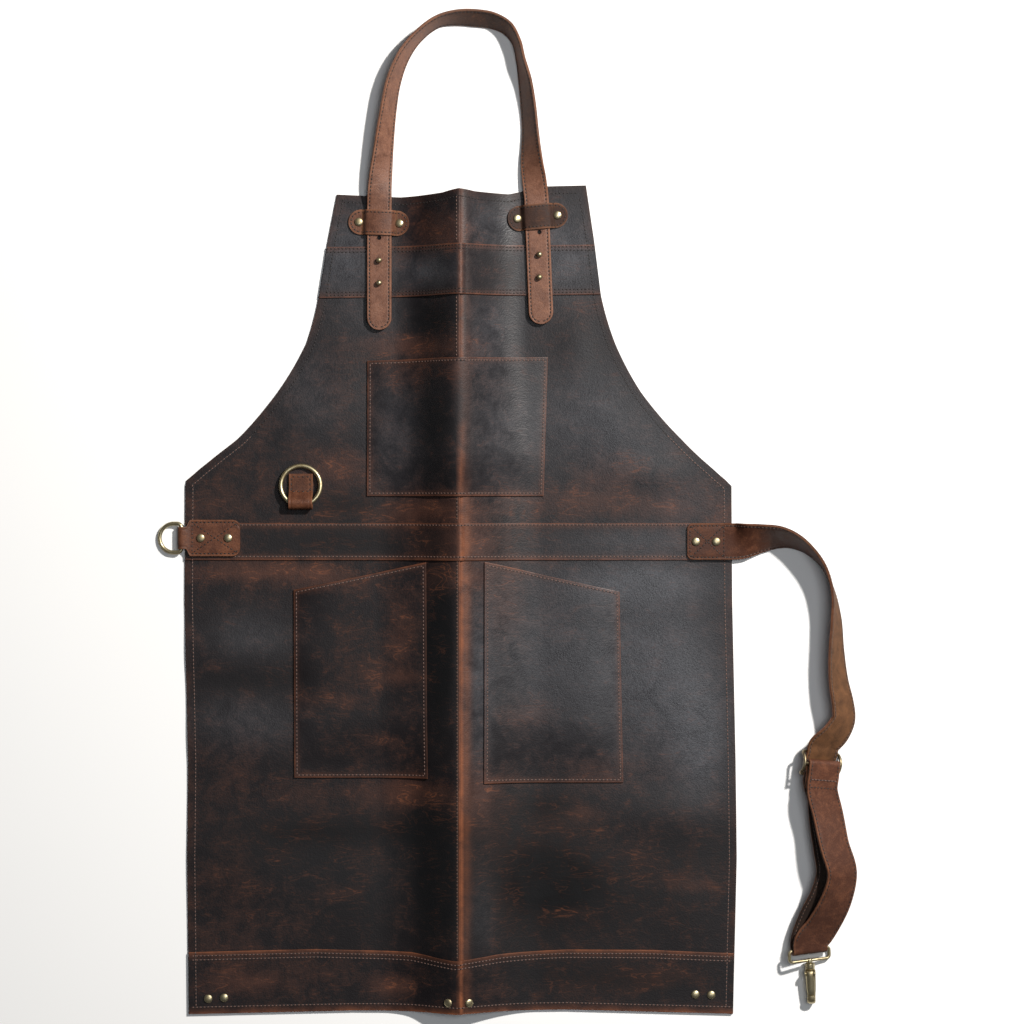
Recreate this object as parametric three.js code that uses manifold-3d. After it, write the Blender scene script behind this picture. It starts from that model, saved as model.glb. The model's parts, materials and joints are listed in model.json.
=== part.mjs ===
// A leather work apron lying on its back on the floor, front side up, with its neck strap looped
// above the bib and its waist strap trailing to the right. Millimetres, +Z up, +Y towards the neck.
import * as THREE from "three";
import { mergeVertices } from "three/addons/utils/BufferGeometryUtils.js";
import Module from "manifold-3d";

const wasm = await Module();
wasm.setup();

// Leather thicknesses, and the gap kept between pieces that lie on each other
const BODY_WALL = 2;
const TRIM_WALL = 1.6;
const STRAP_WALL = 2.8;
const TAB_WALL = 3.4;
const GAP = 0.3;

// Outline of the body: x from the centre seam, y up from the hem
const HALF_WIDTH = 284;
const SHOULDER_Y = 547;
const BIB_FOOT = { half: 147, y: 745 };
const BIB_TOP = { half: 129.5, y: 853 };
const ARMHOLE_SAG = 22.5;
const HEM_EDGE = [
  { x: -284, y: -2 },
  { x: -110, y: 2 },
  { x: 0, y: 0 },
  { x: 110, y: 3 },
  { x: 284, y: -1.5 },
];
const TOP_EDGE = [
  { x: -129.5, y: 850 },
  { x: -62, y: 847 },
  { x: 0, y: 849 },
  { x: 50, y: 851 },
  { x: 88, y: 859 },
  { x: 129.5, y: 859 },
];
const BODY_ROWS = [30, 61, 265, 470, 540, 547, 562, 582, 606, 632, 658, 680, 705, 727, 745, 798];

// The fold down the middle: how high it stands and how far its sides reach, up the apron
const FOLD = [
  { y: 0, rise: 20, reach: 80 },
  { y: 61, rise: 27, reach: 88 },
  { y: 470, rise: 29, reach: 88 },
  { y: 540, rise: 32, reach: 84 },
  { y: 680, rise: 36, reach: 70 },
  { y: 860, rise: 33, reach: 68 },
];
const CREST_ROUND = 0.12;
const FOLD_COLUMNS = [-92, -74, -57, -42, -31, -24, -17, -8, 0, 0.6, 4, 10, 17, 26, 38, 54, 72, 92];

// Centre seam: the left panel steps up over the right one, and the trim steps down past its edge
const LAP = { under: -16, rampFrom: -24, rampTo: -17, edge: 0, trimEdge: 0.6, trimEnd: 4 };

// Strips across the front: heights of their lower and upper edges at the left and right ends
const BANDS = {
  chest_band: { left: [740.5, 793], right: [748, 797] },
  waist_band: { left: [470, 508.5], right: [470, 508.5] },
  hem_band: { left: [0, 61], right: [0, 61], alongHem: true },
};

// Patch pockets: sides, foot, mouth height at the left and right, and how far the mouth stands open
const POCKET_SEAT = 0.2;
const POCKETS = {
  chest_pocket: { left: -97, right: 91.5, foot: 536, mouth: [677, 680], belly: 5 },
  left_pocket: { left: -172.5, right: -32, foot: 244, mouth: [438.5, 467], belly: 6.2 },
  right_pocket: { left: 23, right: 168, foot: 239, mouth: [467, 437.5], belly: 6.2 },
};

// Neck strap: centre line, height of its lower (inner) edge and how far its outer edge is tipped up
const NECK_WIDTH = 25.4;
const BIB_LIFT = 5.2;
const NECK = [
  { x: -84.2, y: 838, lift: BIB_LIFT, tip: 0 },
  { x: -83.5, y: 858, lift: 4.6, tip: 17 },
  { x: -80, y: 894, lift: 1.5, tip: 40 },
  { x: -75, y: 935, lift: 0.5, tip: 53 },
  { x: -69, y: 967, lift: 0.5, tip: 59 },
  { x: -58.6, y: 993, lift: 0.5, tip: 66 },
  { x: -44, y: 1012.5, lift: 0.5, tip: 72 },
  { x: -23.5, y: 1028, lift: 0.5, tip: 72 },
  { x: -4, y: 1032.3, lift: 0.5, tip: 63 },
  { x: 14.5, y: 1032, lift: 0.5, tip: 57 },
  { x: 33, y: 1029.3, lift: 0.5, tip: 59 },
  { x: 48.8, y: 1021.3, lift: 0.5, tip: 66 },
  { x: 58.3, y: 1006.8, lift: 0.5, tip: 74 },
  { x: 62.5, y: 989, lift: 0.5, tip: 73 },
  { x: 67, y: 967.5, lift: 0.5, tip: 62 },
  { x: 70.3, y: 943, lift: 0.5, tip: 56 },
  { x: 72.4, y: 919, lift: 0.7, tip: 53 },
  { x: 73.4, y: 899, lift: 1.5, tip: 43 },
  { x: 74.6, y: 880, lift: 3, tip: 27 },
  { x: 76.9, y: 863, lift: 4.8, tip: 10 },
  { x: 78.8, y: 846, lift: BIB_LIFT, tip: 0 },
];
const NECK_ENDS = { left: { x: -84.3, y: 709 }, right: { x: 84.1, y: 715 } };
const NECK_HOLE = 2.1;
const STUD_PITCH = 23.5;
const STUDS = {
  left: { x: -84.3, y: 757.5, freeHole: 804.5 },
  right: { x: 82, y: 763.5, freeHole: 810.5 },
};

// Keepers: loops that hold the neck strap to the bib
const KEEPER = { long: 64, wide: 26, rivetPitch: 42.6, strapRoom: 14, ramp: 2.6, seat: 0.4, blunt: 3 };
const KEEPERS = {
  left: { x: -84.3, y: 820.5, turn: -2 },
  right: { x: 79.6, y: 826.5, turn: 5 },
};

// Rivets through a stack of leather
const RIVET = { cap: 4.4, rise: 1.9, post: 1.4, back: 3.3, backWall: 0.6, hole: 1.95, sink: 1.1 };
const HEM_RIVETS = [
  { x: -262, y: 14.5 },
  { x: -245.5, y: 15.5 },
  { x: -10, y: 14 },
  { x: 8, y: 13.5 },
  { x: 244, y: 19 },
  { x: 260.5, y: 18.5 },
];

// Towel ring and its folded tab
const TOWEL_RING = { x: -165.8, y: 529.2, radius: 20.7, wire: 2.15, seat: 2.2, droop: 6.2 };
const RING_TAB = { wide: 24.8, long: 30.5, bore: 5, wall: 1.7 };

// D-ring at the left edge and its folded tab
const SIDE_RING = { x: -289.4, y: 493, half: 15, corner: 5, straight: 8.4, wire: 2.1, droop: 8.2 };
const SIDE_TAB = { end: -228.7, half: 18.9, neckHalf: 11.5, corner: 8, bore: 2.6, wall: 1.7 };
const SIDE_TAB_RIVETS = [-269.5, -241];

// Waist strap: centre line, height of its lower edge, and how far its other edge is tipped up and over
const WAIST_WIDTH = 38;
const WAIST_LIFT = 4.2;
const WAIST_END = { x: 235.5, y: 489.3, corner: 6 };
const STRAP_RIVETS = [244.5, 265.5];
const WAIST_OUT = [
  { x: 273, y: 489.3, heading: 0, lift: WAIST_LIFT, tip: 0 },
  { x: 286, y: 489.4, heading: 1, lift: 4.6, tip: 5 },
  { x: 298, y: 490.8, heading: 3, lift: 2.8, tip: 26 },
  { x: 313, y: 493, heading: 0, lift: 0.8, tip: 42 },
  { x: 330, y: 494, heading: -10, lift: 0.5, tip: 55 },
  { x: 344.5, y: 490.5, heading: -26, lift: 0.5, tip: 67 },
  { x: 361, y: 480.5, heading: -41, lift: 0.5, tip: 80 },
  { x: 376.5, y: 462.5, heading: -56, lift: 0.5, tip: 90 },
  { x: 385.5, y: 437, heading: -77, lift: 0.5, tip: 98 },
  { x: 388.8, y: 408, heading: -87, lift: 0.6, tip: 110 },
  { x: 389, y: 376.5, heading: -88, lift: 0.7, tip: 118 },
  { x: 391.3, y: 345, heading: -84, lift: 0.8, tip: 125 },
  { x: 396, y: 320, heading: -84, lift: 0.9, tip: 130 },
  { x: 396.5, y: 305, heading: -104, lift: 1.4, tip: 134 },
  { x: 388, y: 290, heading: -112, lift: 4.6, tip: 142 },
];
const WAIST_UNDER = [
  { x: 375, y: 228, heading: -90, lift: 2, tip: 151 },
  { x: 377, y: 200, heading: -86, lift: 0.9, tip: 147 },
  { x: 381, y: 172, heading: -82, lift: 0.6, tip: 146 },
  { x: 384, y: 148, heading: -92, lift: 0.6, tip: 146 },
  { x: 378.5, y: 124, heading: -106, lift: 0.6, tip: 149 },
  { x: 367.5, y: 99, heading: -108, lift: 0.8, tip: 155 },
];
const WAIST_FRONT = [
  { x: 372.5, y: 88, heading: -114, lift: 7.5, tip: 157 },
  { x: 387.5, y: 117.5, heading: -110, lift: 13, tip: 152 },
  { x: 394, y: 147, heading: -88, lift: 16, tip: 147 },
  { x: 385.8, y: 177, heading: -78, lift: 15, tip: 146 },
  { x: 379.8, y: 207.5, heading: -83, lift: 11.5, tip: 149 },
];

// Slider: an arched frame with a bar across its middle, leaning like the strap that runs through it
const SLIDER = {
  x: 375,
  y: 259,
  z: 18.8,
  heading: -97,
  lean: 29,
  half: 22.4,
  reach: 11.8,
  drop: 8,
  wire: 1.6,
};
const SEWN_TAIL = 26;

// Snap hook: its loop sits in the strap's fold and its body lies on the floor
const HOOK = { x: 361.5, y: 67, z: 11.3, heading: -87, pitch: 4.5, lean: 18, roll: 8 };
const HOOK_LOOP = { half: 22.4, long: 11.7, corner: 3.6, wire: 1.6 };
const SWIVEL = { boss: 2.9, post: 1.5, head: 2.6, bore: 1.9, chamber: 3, collar: 5 };
const HOOK_BODY = { half: 3.5, slotHalf: 2.3, tip: 36, nose: 7.4, back: -6, eyeBack: -3 };
const GATE = { half: 1.9, x: 13, y: 5, disc: 2.8, bore: 1.5, pin: 1.1, low: 3.9, high: 7, gap: 0.4 };

const METAL = { brass: 0x8f7a4e, dark: 0x6f6552 };
const LEATHER = { body: 0x2a1d1b, strap: 0x5b342a };

function leather(color) {
  return new THREE.MeshStandardMaterial({ color, roughness: 0.55, metalness: 0 });
}

function metal(color) {
  return new THREE.MeshStandardMaterial({ color, roughness: 0.4, metalness: 0.9 });
}

function radians(degrees) {
  return THREE.MathUtils.degToRad(degrees);
}

// Straight-line reading of one column of a table by another
function between(table, key, value, column) {
  const last = table[table.length - 1];
  if (value <= table[0][key]) {
    return table[0][column];
  }
  for (let i = 1; i < table.length; i += 1) {
    if (value <= table[i][key]) {
      const part = (value - table[i - 1][key]) / (table[i][key] - table[i - 1][key]);
      return THREE.MathUtils.lerp(table[i - 1][column], table[i][column], part);
    }
  }
  return last[column];
}

// Height of the body's underside above the floor
function lie(x, y) {
  const away = Math.abs(x) / between(FOLD, "y", y, "reach");
  if (away >= 1) {
    return 0;
  }
  const flat = Math.hypot(1, CREST_ROUND) - CREST_ROUND;
  const part = (Math.hypot(away, CREST_ROUND) - CREST_ROUND) / flat;
  return between(FOLD, "y", y, "rise") * (1 - part) ** 2;
}

function upAt(x, y) {
  const step = 0.5;
  const slopeX = (lie(x + step, y) - lie(x - step, y)) / (2 * step);
  const slopeY = (lie(x, y + step) - lie(x, y - step)) / (2 * step);
  return new THREE.Vector3(-slopeX, -slopeY, 1).normalize();
}

// A point at some height over the apron's underside, measured square to it
function onApron(x, y, height) {
  return new THREE.Vector3(x, y, lie(x, y)).addScaledVector(upAt(x, y), height);
}

// Half width of the body: straight skirt, hollow armhole, nearly straight bib
function halfWidth(y) {
  if (y <= SHOULDER_Y) {
    return HALF_WIDTH;
  }
  if (y >= BIB_FOOT.y) {
    const part = (y - BIB_FOOT.y) / (BIB_TOP.y - BIB_FOOT.y);
    return THREE.MathUtils.lerp(BIB_FOOT.half, BIB_TOP.half, Math.min(part, 1));
  }
  const run = HALF_WIDTH - BIB_FOOT.half;
  const climb = BIB_FOOT.y - SHOULDER_Y;
  const chord = Math.hypot(run, climb);
  const radius = chord ** 2 / (8 * ARMHOLE_SAG) + ARMHOLE_SAG / 2;
  const out = radius - ARMHOLE_SAG;
  const centreX = (HALF_WIDTH + BIB_FOOT.half) / 2 + out * (climb / chord);
  const centreY = (SHOULDER_Y + BIB_FOOT.y) / 2 + out * (run / chord);
  return centreX - Math.sqrt(radius ** 2 - (y - centreY) ** 2);
}

// How much higher the left panel runs where it laps over the right one
function lapStep(x) {
  return between([{ x: LAP.rampFrom, s: 0 }, { x: LAP.rampTo, s: BODY_WALL + GAP }], "x", x, "s");
}

// Height at which trim lies on the body, over the lap and down past its edge
function trimBase(x) {
  const step = BODY_WALL + GAP;
  const past = [{ x: LAP.trimEdge, s: step }, { x: LAP.trimEnd, s: 0 }];
  return step + Math.min(lapStep(x), between(past, "x", x, "s"));
}

// Closed wall from rows of point pairs: each pair is the wall's inner and outer face at one place
function wall(rows) {
  const across = rows[0].length;
  const end = across - 1;
  const last = rows.length - 1;
  const points = rows.flat().flatMap(({ under, over }) => [under, over]);
  const at = (row, column, face) => 2 * (row * across + column) + face;
  const faces = [];
  const quad = (a, b, c, d) => faces.push(a, b, c, a, c, d);
  for (let j = 0; j < last; j += 1) {
    for (let i = 0; i < end; i += 1) {
      quad(at(j, i, 1), at(j, i + 1, 1), at(j + 1, i + 1, 1), at(j + 1, i, 1));
      quad(at(j, i, 0), at(j + 1, i, 0), at(j + 1, i + 1, 0), at(j, i + 1, 0));
    }
    quad(at(j, 0, 0), at(j, 0, 1), at(j + 1, 0, 1), at(j + 1, 0, 0));
    quad(at(j, end, 0), at(j + 1, end, 0), at(j + 1, end, 1), at(j, end, 1));
  }
  for (let i = 0; i < end; i += 1) {
    quad(at(0, i, 0), at(0, i + 1, 0), at(0, i + 1, 1), at(0, i, 1));
    quad(at(last, i, 0), at(last, i, 1), at(last, i + 1, 1), at(last, i + 1, 0));
  }
  const geometry = new THREE.BufferGeometry().setFromPoints(points);
  geometry.setIndex(faces);
  return geometry;
}

function drapedWall(rows) {
  return wall(rows.map((row) => row.map(({ x, y, low, high }) => ({
    under: onApron(x, y, low),
    over: onApron(x, y, high),
  }))));
}

// Booleans
function solidOf(geometry) {
  const bare = new THREE.BufferGeometry();
  bare.setAttribute("position", geometry.getAttribute("position"));
  bare.setIndex(geometry.getIndex());
  const merged = mergeVertices(bare, 1e-5);
  return new wasm.Manifold(new wasm.Mesh({
    numProp: 3,
    vertProperties: new Float32Array(merged.getAttribute("position").array),
    triVerts: new Uint32Array(merged.getIndex().array),
  }));
}

function geometryOf(solid) {
  const mesh = solid.getMesh();
  const geometry = new THREE.BufferGeometry();
  geometry.setAttribute("position", new THREE.BufferAttribute(mesh.vertProperties, 3));
  geometry.setIndex(new THREE.BufferAttribute(mesh.triVerts, 1));
  return geometry;
}

function joined(...geometries) {
  return geometryOf(geometries.map(solidOf).reduce((sum, solid) => sum.add(solid)));
}

function cut(geometry, cutters) {
  const rest = cutters.map(solidOf).reduce((left, cutter) => left.subtract(cutter), solidOf(geometry));
  return geometryOf(rest);
}

// Turn and place a geometry made along +Z so that it stands on the apron
function standOn(geometry, x, y) {
  const turn = new THREE.Quaternion().setFromUnitVectors(new THREE.Vector3(0, 0, 1), upAt(x, y));
  return geometry.applyQuaternion(turn).translate(x, y, lie(x, y));
}

function lathe(profile, sides) {
  const points = profile.map(([radius, height]) => new THREE.Vector2(radius, height));
  return new THREE.LatheGeometry(points, sides).rotateX(Math.PI / 2);
}

// A drill through every layer, with a wider sink for the rivet's back
function drill(x, y, radius, sinkRadius) {
  const low = RIVET.sink;
  const profile = [[0, -3], [sinkRadius, -3], [sinkRadius, low], [radius, low], [radius, 30], [0, 30]];
  return standOn(lathe(profile, 6), x, y);
}

const rivetDrill = ({ x, y }) => drill(x, y, RIVET.hole, RIVET.back + 0.85);

function rivet(x, y, top) {
  const seat = top + GAP;
  const back = 0.25;
  const profile = [
    [0, back],
    [RIVET.back, back],
    [RIVET.back, back + RIVET.backWall],
    [RIVET.post, back + RIVET.backWall],
    [RIVET.post, seat],
    [RIVET.cap, seat],
    [RIVET.cap, seat + RIVET.rise * 0.45],
    [RIVET.cap * 0.62, seat + RIVET.rise * 0.92],
    [0, seat + RIVET.rise],
  ];
  return standOn(lathe(profile, 8), x, y);
}

// Body panels
function edgeColumns(edge, inner, count) {
  const columns = [];
  for (let i = 0; i < count; i += 1) {
    columns.push(THREE.MathUtils.lerp(edge, inner, i / count));
  }
  return columns;
}

function bodyRows(columnsAt) {
  const reach = [0, ...BODY_ROWS, BIB_TOP.y];
  return reach.map((row, j) => columnsAt(halfWidth(row)).map((x) => {
    let y = row;
    if (j === 0) {
      y = between(HEM_EDGE, "x", x, "y");
    }
    if (j === reach.length - 1) {
      y = between(TOP_EDGE, "x", x, "y");
    }
    return { x, y };
  }));
}

function leftPanel() {
  const inner = FOLD_COLUMNS.filter((x) => x <= LAP.edge);
  const rows = bodyRows((half) => [...edgeColumns(-half, inner[0], 3), ...inner]);
  return drapedWall(rows.map((row) => row.map(({ x, y }) => {
    const low = lapStep(x);
    return { x, y, low, high: low + BODY_WALL };
  })));
}

function rightPanel() {
  const inner = [LAP.under, ...FOLD_COLUMNS.filter((x) => x > LAP.under && x !== LAP.trimEdge)];
  const last = inner[inner.length - 1];
  const rows = bodyRows((half) => [...inner, ...edgeColumns(half, last, 3).reverse()]);
  return drapedWall(rows.map((row) => row.map(({ x, y }) => ({ x, y, low: 0, high: BODY_WALL }))));
}

// Trim: a strip from edge to edge between two sloping lines
function band({ left, right, alongHem = false }) {
  const parts = [0, 0.5, 1];
  const inset = 0.4;
  return drapedWall(parts.map((part) => {
    const middle = THREE.MathUtils.lerp((left[0] + right[0]) / 2, (left[1] + right[1]) / 2, part);
    const half = halfWidth(middle) - inset;
    const columns = [
      ...edgeColumns(-half, FOLD_COLUMNS[0], 2),
      ...FOLD_COLUMNS,
      ...edgeColumns(half, FOLD_COLUMNS[FOLD_COLUMNS.length - 1], 2).reverse(),
    ];
    return columns.map((x) => {
      const side = (x + half) / (2 * half);
      const low = alongHem
        ? between(HEM_EDGE, "x", x, "y")
        : THREE.MathUtils.lerp(left[0], right[0], side);
      const high = THREE.MathUtils.lerp(left[1], right[1], side);
      const base = trimBase(x);
      return { x, y: THREE.MathUtils.lerp(low, high, part), low: base, high: base + TRIM_WALL };
    });
  }));
}

// Patch pocket: sewn down at its foot and sides, standing a little open at the mouth
function pocket({ left, right, foot, mouth, belly }) {
  const wide = right - left;
  const own = [0, 0.05, 0.13, 0.3, 0.7, 0.87, 0.95, 1].map((part) => left + part * wide);
  const clear = (x) => own.every((column) => Math.abs(column - x) > 3);
  const shared = FOLD_COLUMNS.filter((x) => x > left && x < right && (Math.abs(x) < 30 || clear(x)));
  const near = (x) => shared.some((column) => Math.abs(column - x) <= 3);
  const columns = [...own.filter((x) => x === left || x === right || !near(x)), ...shared];
  columns.sort((a, b) => a - b);
  return drapedWall([0, 0.06, 0.16, 0.32, 0.66, 1].map((part) => columns.map((x) => {
    const side = (x - left) / wide;
    const top = THREE.MathUtils.lerp(mouth[0], mouth[1], side);
    const swell = belly * (1 - (2 * side - 1) ** 4) * THREE.MathUtils.smoothstep(part, 0, 0.32);
    const base = trimBase(x) + POCKET_SEAT + swell;
    return { x, y: THREE.MathUtils.lerp(foot, top, part), low: base, high: base + TRIM_WALL };
  })));
}

// Straps: a station is a centre point, the direction across to the tipped-up edge, and a width
function station(centre, side, width) {
  return { centre, side, width };
}

function tippedStation({ x, y, heading, lift, tip }, width) {
  const out = radians(heading + 90);
  const tilt = radians(tip);
  const level = Math.cos(tilt);
  const side = new THREE.Vector3(level * Math.cos(out), level * Math.sin(out), Math.sin(tilt));
  const z = lift + (width / 2) * Math.sin(tilt) + (STRAP_WALL / 2) * Math.abs(level);
  return station(new THREE.Vector3(x, y, z), side, width);
}

// Smooth run of stations through the given ones
function run(stations, steps) {
  const path = new THREE.CatmullRomCurve3(stations.map(({ centre }) => centre));
  const turn = new THREE.CatmullRomCurve3(stations.map(({ side }) => side));
  const count = steps * (stations.length - 1);
  const made = [];
  for (let i = 0; i <= count; i += 1) {
    const part = i / count;
    made.push(station(path.getPoint(part), turn.getPoint(part).normalize(), stations[0].width));
  }
  return made;
}

// Rounded end of a strap: stations from its tip up to its full width, all at one height
function roundedEnd(tip, next, corner) {
  const along = next.centre.clone().sub(tip).setZ(0).normalize();
  return [15, 45, 90].map((angle) => {
    const centre = tip.clone().addScaledVector(along, corner * (1 - Math.cos(radians(angle))));
    const width = next.width - 2 * corner * (1 - Math.sin(radians(angle)));
    return station(centre, next.side, width);
  });
}

function strapWall(stations) {
  const last = stations.length - 1;
  return wall(stations.map(({ centre, side, width }, i) => {
    const before = stations[Math.max(i - 1, 0)].centre;
    const after = stations[Math.min(i + 1, last)].centre;
    const along = after.clone().sub(before).normalize();
    const across = side.clone().addScaledVector(along, -side.dot(along)).normalize();
    const face = along.clone().cross(across);
    return [0.5, -0.5].map((part) => {
      const edge = centre.clone().addScaledVector(across, part * width);
      return {
        under: edge.clone().addScaledVector(face, -STRAP_WALL / 2),
        over: edge.clone().addScaledVector(face, STRAP_WALL / 2),
      };
    });
  }));
}

function neckStrap() {
  const last = NECK.length - 1;
  const loop = run(NECK.map((row, i) => {
    const before = NECK[Math.max(i - 1, 0)];
    const after = NECK[Math.min(i + 1, last)];
    const heading = THREE.MathUtils.radToDeg(Math.atan2(after.y - before.y, after.x - before.x));
    return tippedStation({ ...row, heading }, NECK_WIDTH);
  }), 2);
  const height = BIB_LIFT + STRAP_WALL / 2;
  const tips = [NECK_ENDS.left, NECK_ENDS.right].map(({ x, y }) => new THREE.Vector3(x, y, height));
  return [
    ...roundedEnd(tips[0], loop[0], NECK_WIDTH / 2),
    ...loop,
    ...roundedEnd(tips[1], loop[loop.length - 1], NECK_WIDTH / 2).reverse(),
  ];
}

// A frame that leans like the strap: u runs along the strap, v across it, n out of its upper face
function leaningFrame({ x, y, z, heading, lean, pitch = 0 }) {
  const angle = radians(heading);
  const u = new THREE.Vector3(Math.cos(angle), Math.sin(angle), -Math.sin(radians(pitch))).normalize();
  const level = new THREE.Vector3(0, 0, 1).cross(u).normalize().negate();
  const v = level.applyAxisAngle(u, -radians(lean));
  const n = v.clone().cross(u);
  return { origin: new THREE.Vector3(x, y, z), u, v, n };
}

function inFrame({ origin, u, n }, along, out) {
  return origin.clone().addScaledVector(u, along).addScaledVector(n, out);
}

const sliderFrame = leaningFrame(SLIDER);
const hookFrame = leaningFrame(HOOK);

function bentRound(frame, radius, angles) {
  return angles.map((angle) => {
    const along = radius * Math.sin(radians(angle));
    const out = radius * Math.cos(radians(angle));
    return station(inFrame(frame, along, out), frame.v, WAIST_WIDTH);
  });
}

function waistStrap() {
  const tipped = (row) => tippedStation(row, WAIST_WIDTH);
  const inPlace = (frame) => ([along, out]) => station(inFrame(frame, along, out), frame.v, WAIST_WIDTH);
  const bySlider = inPlace(sliderFrame);
  const byHook = inPlace(hookFrame);
  const bend = HOOK_LOOP.wire + 0.5 + STRAP_WALL / 2;
  const bar = SLIDER.wire + 0.4 + STRAP_WALL / 2;
  const through = -bar - STRAP_WALL - GAP;
  const overEnd = -SLIDER.drop + SLIDER.wire + GAP + STRAP_WALL / 2;
  const underSlider = [
    [-19, overEnd + 2],
    [-11.8, overEnd + 1],
    [0, through],
    [11, overEnd + 0.5],
    [17, overEnd + 0.6],
  ];
  const outgoing = run([
    ...WAIST_OUT.map(tipped),
    ...underSlider.map(bySlider),
    ...WAIST_UNDER.map(tipped),
    ...[[-8, -bend], [0, -bend]].map(byHook),
  ], 2);
  const returning = run([
    ...[[0, bend], [-8, bend + 0.8]].map(byHook),
    ...WAIST_FRONT.map(tipped),
    ...[[SEWN_TAIL, bar + 0.8], [12, bar + 0.3], [0, bar]].map(bySlider),
  ], 3);
  const tail = run([[0, -bar], [5, -bar + 1], [11, -0.4], [SEWN_TAIL, -0.2]].map(bySlider), 2);
  const tip = new THREE.Vector3(WAIST_END.x, WAIST_END.y, outgoing[0].centre.z);
  return [
    ...roundedEnd(tip, outgoing[0], WAIST_END.corner),
    ...outgoing,
    ...bentRound(hookFrame, bend, [150, 120, 90, 60, 30]),
    ...returning,
    ...bentRound(sliderFrame, bar, [-30, -60, -90, -120, -150]),
    ...tail,
  ];
}

// Keeper: a pill-shaped strip, flat at its ends and arched over the neck strap
function keeper({ x, y, turn }) {
  const half = KEEPER.long / 2;
  const flatTo = KEEPER.strapRoom + KEEPER.ramp;
  const over = BIB_LIFT + STRAP_WALL + GAP;
  const base = BODY_WALL + GAP + KEEPER.seat;
  const columns = [-1, -0.96, -0.86, -0.74, -flatTo / half, -KEEPER.strapRoom / half, 0];
  const parts = [...columns, ...columns.slice(0, -1).map((part) => -part).reverse()];
  const radius = KEEPER.wide / 2;
  const cos = Math.cos(radians(turn));
  const sin = Math.sin(radians(turn));
  const arch = [{ at: KEEPER.strapRoom, s: over }, { at: flatTo, s: base }];
  return drapedWall([-1, 1].map((edge) => parts.map((part) => {
    const along = part * half;
    const fromEnd = half - Math.abs(along);
    const inward = Math.max(radius - fromEnd, 0);
    const out = edge * Math.sqrt(Math.max(radius ** 2 - inward ** 2, KEEPER.blunt ** 2));
    const low = between(arch, "at", Math.abs(along), "s");
    return { x: x + along * cos - out * sin, y: y + along * sin + out * cos, low, high: low + TRIM_WALL };
  })));
}

function keeperRivetSpots({ x, y, turn }) {
  const reach = KEEPER.rivetPitch / 2;
  return [-reach, reach].map((along) => ({
    x: x + along * Math.cos(radians(turn)),
    y: y + along * Math.sin(radians(turn)),
  }));
}

// Button stud: back disc, post through bib and band, shoulder under the strap, ball head above it
function stud(x, y) {
  const seat = BODY_WALL + TRIM_WALL + 2 * GAP;
  const top = BIB_LIFT + STRAP_WALL;
  const profile = [
    [0, 0.25],
    [RIVET.back, 0.25],
    [RIVET.back, 0.85],
    [RIVET.post, 0.85],
    [RIVET.post, seat],
    [3.2, seat],
    [3.2, seat + 0.7],
    [1.5, seat + 0.7],
    [1.5, top + 0.8],
    [2.5, top + 1.5],
    [3, top + 3],
    [2.2, top + 5],
    [0, top + 5.9],
  ];
  return standOn(lathe(profile, 8), x, y);
}

const studSpots = Object.values(STUDS).flatMap(({ x, y }) => [{ x, y }, { x, y: y + STUD_PITCH }]);

// Wire bent to a closed path
function wireLoop(points, radius, sides) {
  const up = new THREE.Vector3(0, 0, 1);
  const count = points.length;
  const rings = points.map((point, i) => {
    const along = points[(i + 1) % count].clone().sub(points[(i - 1 + count) % count]).normalize();
    const across = along.clone().cross(up).normalize();
    const out = across.clone().cross(along);
    return Array.from({ length: sides }, (_, k) => {
      const angle = (2 * Math.PI * k) / sides;
      const swing = across.clone().multiplyScalar(radius * Math.cos(angle));
      return point.clone().add(swing).addScaledVector(out, radius * Math.sin(angle));
    });
  });
  const faces = [];
  for (let i = 0; i < count; i += 1) {
    for (let k = 0; k < sides; k += 1) {
      const a = i * sides + k;
      const b = i * sides + ((k + 1) % sides);
      const c = ((i + 1) % count) * sides + ((k + 1) % sides);
      const d = ((i + 1) % count) * sides + k;
      faces.push(a, c, b, a, d, c);
    }
  }
  const geometry = new THREE.BufferGeometry().setFromPoints(rings.flat());
  geometry.setIndex(faces);
  return geometry;
}

function pathPoints(path, pieces) {
  const points = path.getPoints(pieces).map(({ x, y }) => new THREE.Vector3(x, y, 0));
  return points.filter((point, i) => point.distanceTo(points[(i + 1) % points.length]) > 0.01);
}

function roundedRectangle(halfLong, halfWide, corner, pieces) {
  const path = new THREE.Path();
  path.absarc(halfLong - corner, -halfWide + corner, corner, -Math.PI / 2, 0);
  path.absarc(halfLong - corner, halfWide - corner, corner, 0, Math.PI / 2);
  path.absarc(-halfLong + corner, halfWide - corner, corner, Math.PI / 2, Math.PI);
  path.absarc(-halfLong + corner, -halfWide + corner, corner, Math.PI, 1.5 * Math.PI);
  path.closePath();
  return pathPoints(path, pieces);
}

function towelRing() {
  const { radius, wire, seat } = TOWEL_RING;
  const path = new THREE.Path().absarc(0, radius - seat, radius, 0, 2 * Math.PI);
  return wireLoop(pathPoints(path, 12), wire, 8);
}

function sideRing() {
  const { half, corner, straight, wire } = SIDE_RING;
  const path = new THREE.Path();
  path.absarc(-corner, half - corner, corner, 0, Math.PI / 2);
  path.absarc(-straight, 0, half, Math.PI / 2, 1.5 * Math.PI);
  path.absarc(-corner, -half + corner, corner, 1.5 * Math.PI, 2 * Math.PI);
  path.closePath();
  return wireLoop(pathPoints(path, 4), wire, 6);
}

// Profile with a bore at the origin end, pushed along an axis to the given width
function foldedTab(outline, bore, wide) {
  const hole = new THREE.Path().absarc(bore.x, bore.y, bore.radius, 0, 2 * Math.PI, true);
  outline.holes.push(hole);
  return new THREE.ExtrudeGeometry(outline, { depth: wide, bevelEnabled: false, curveSegments: 9 })
    .translate(0, 0, -wide / 2);
}

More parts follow.
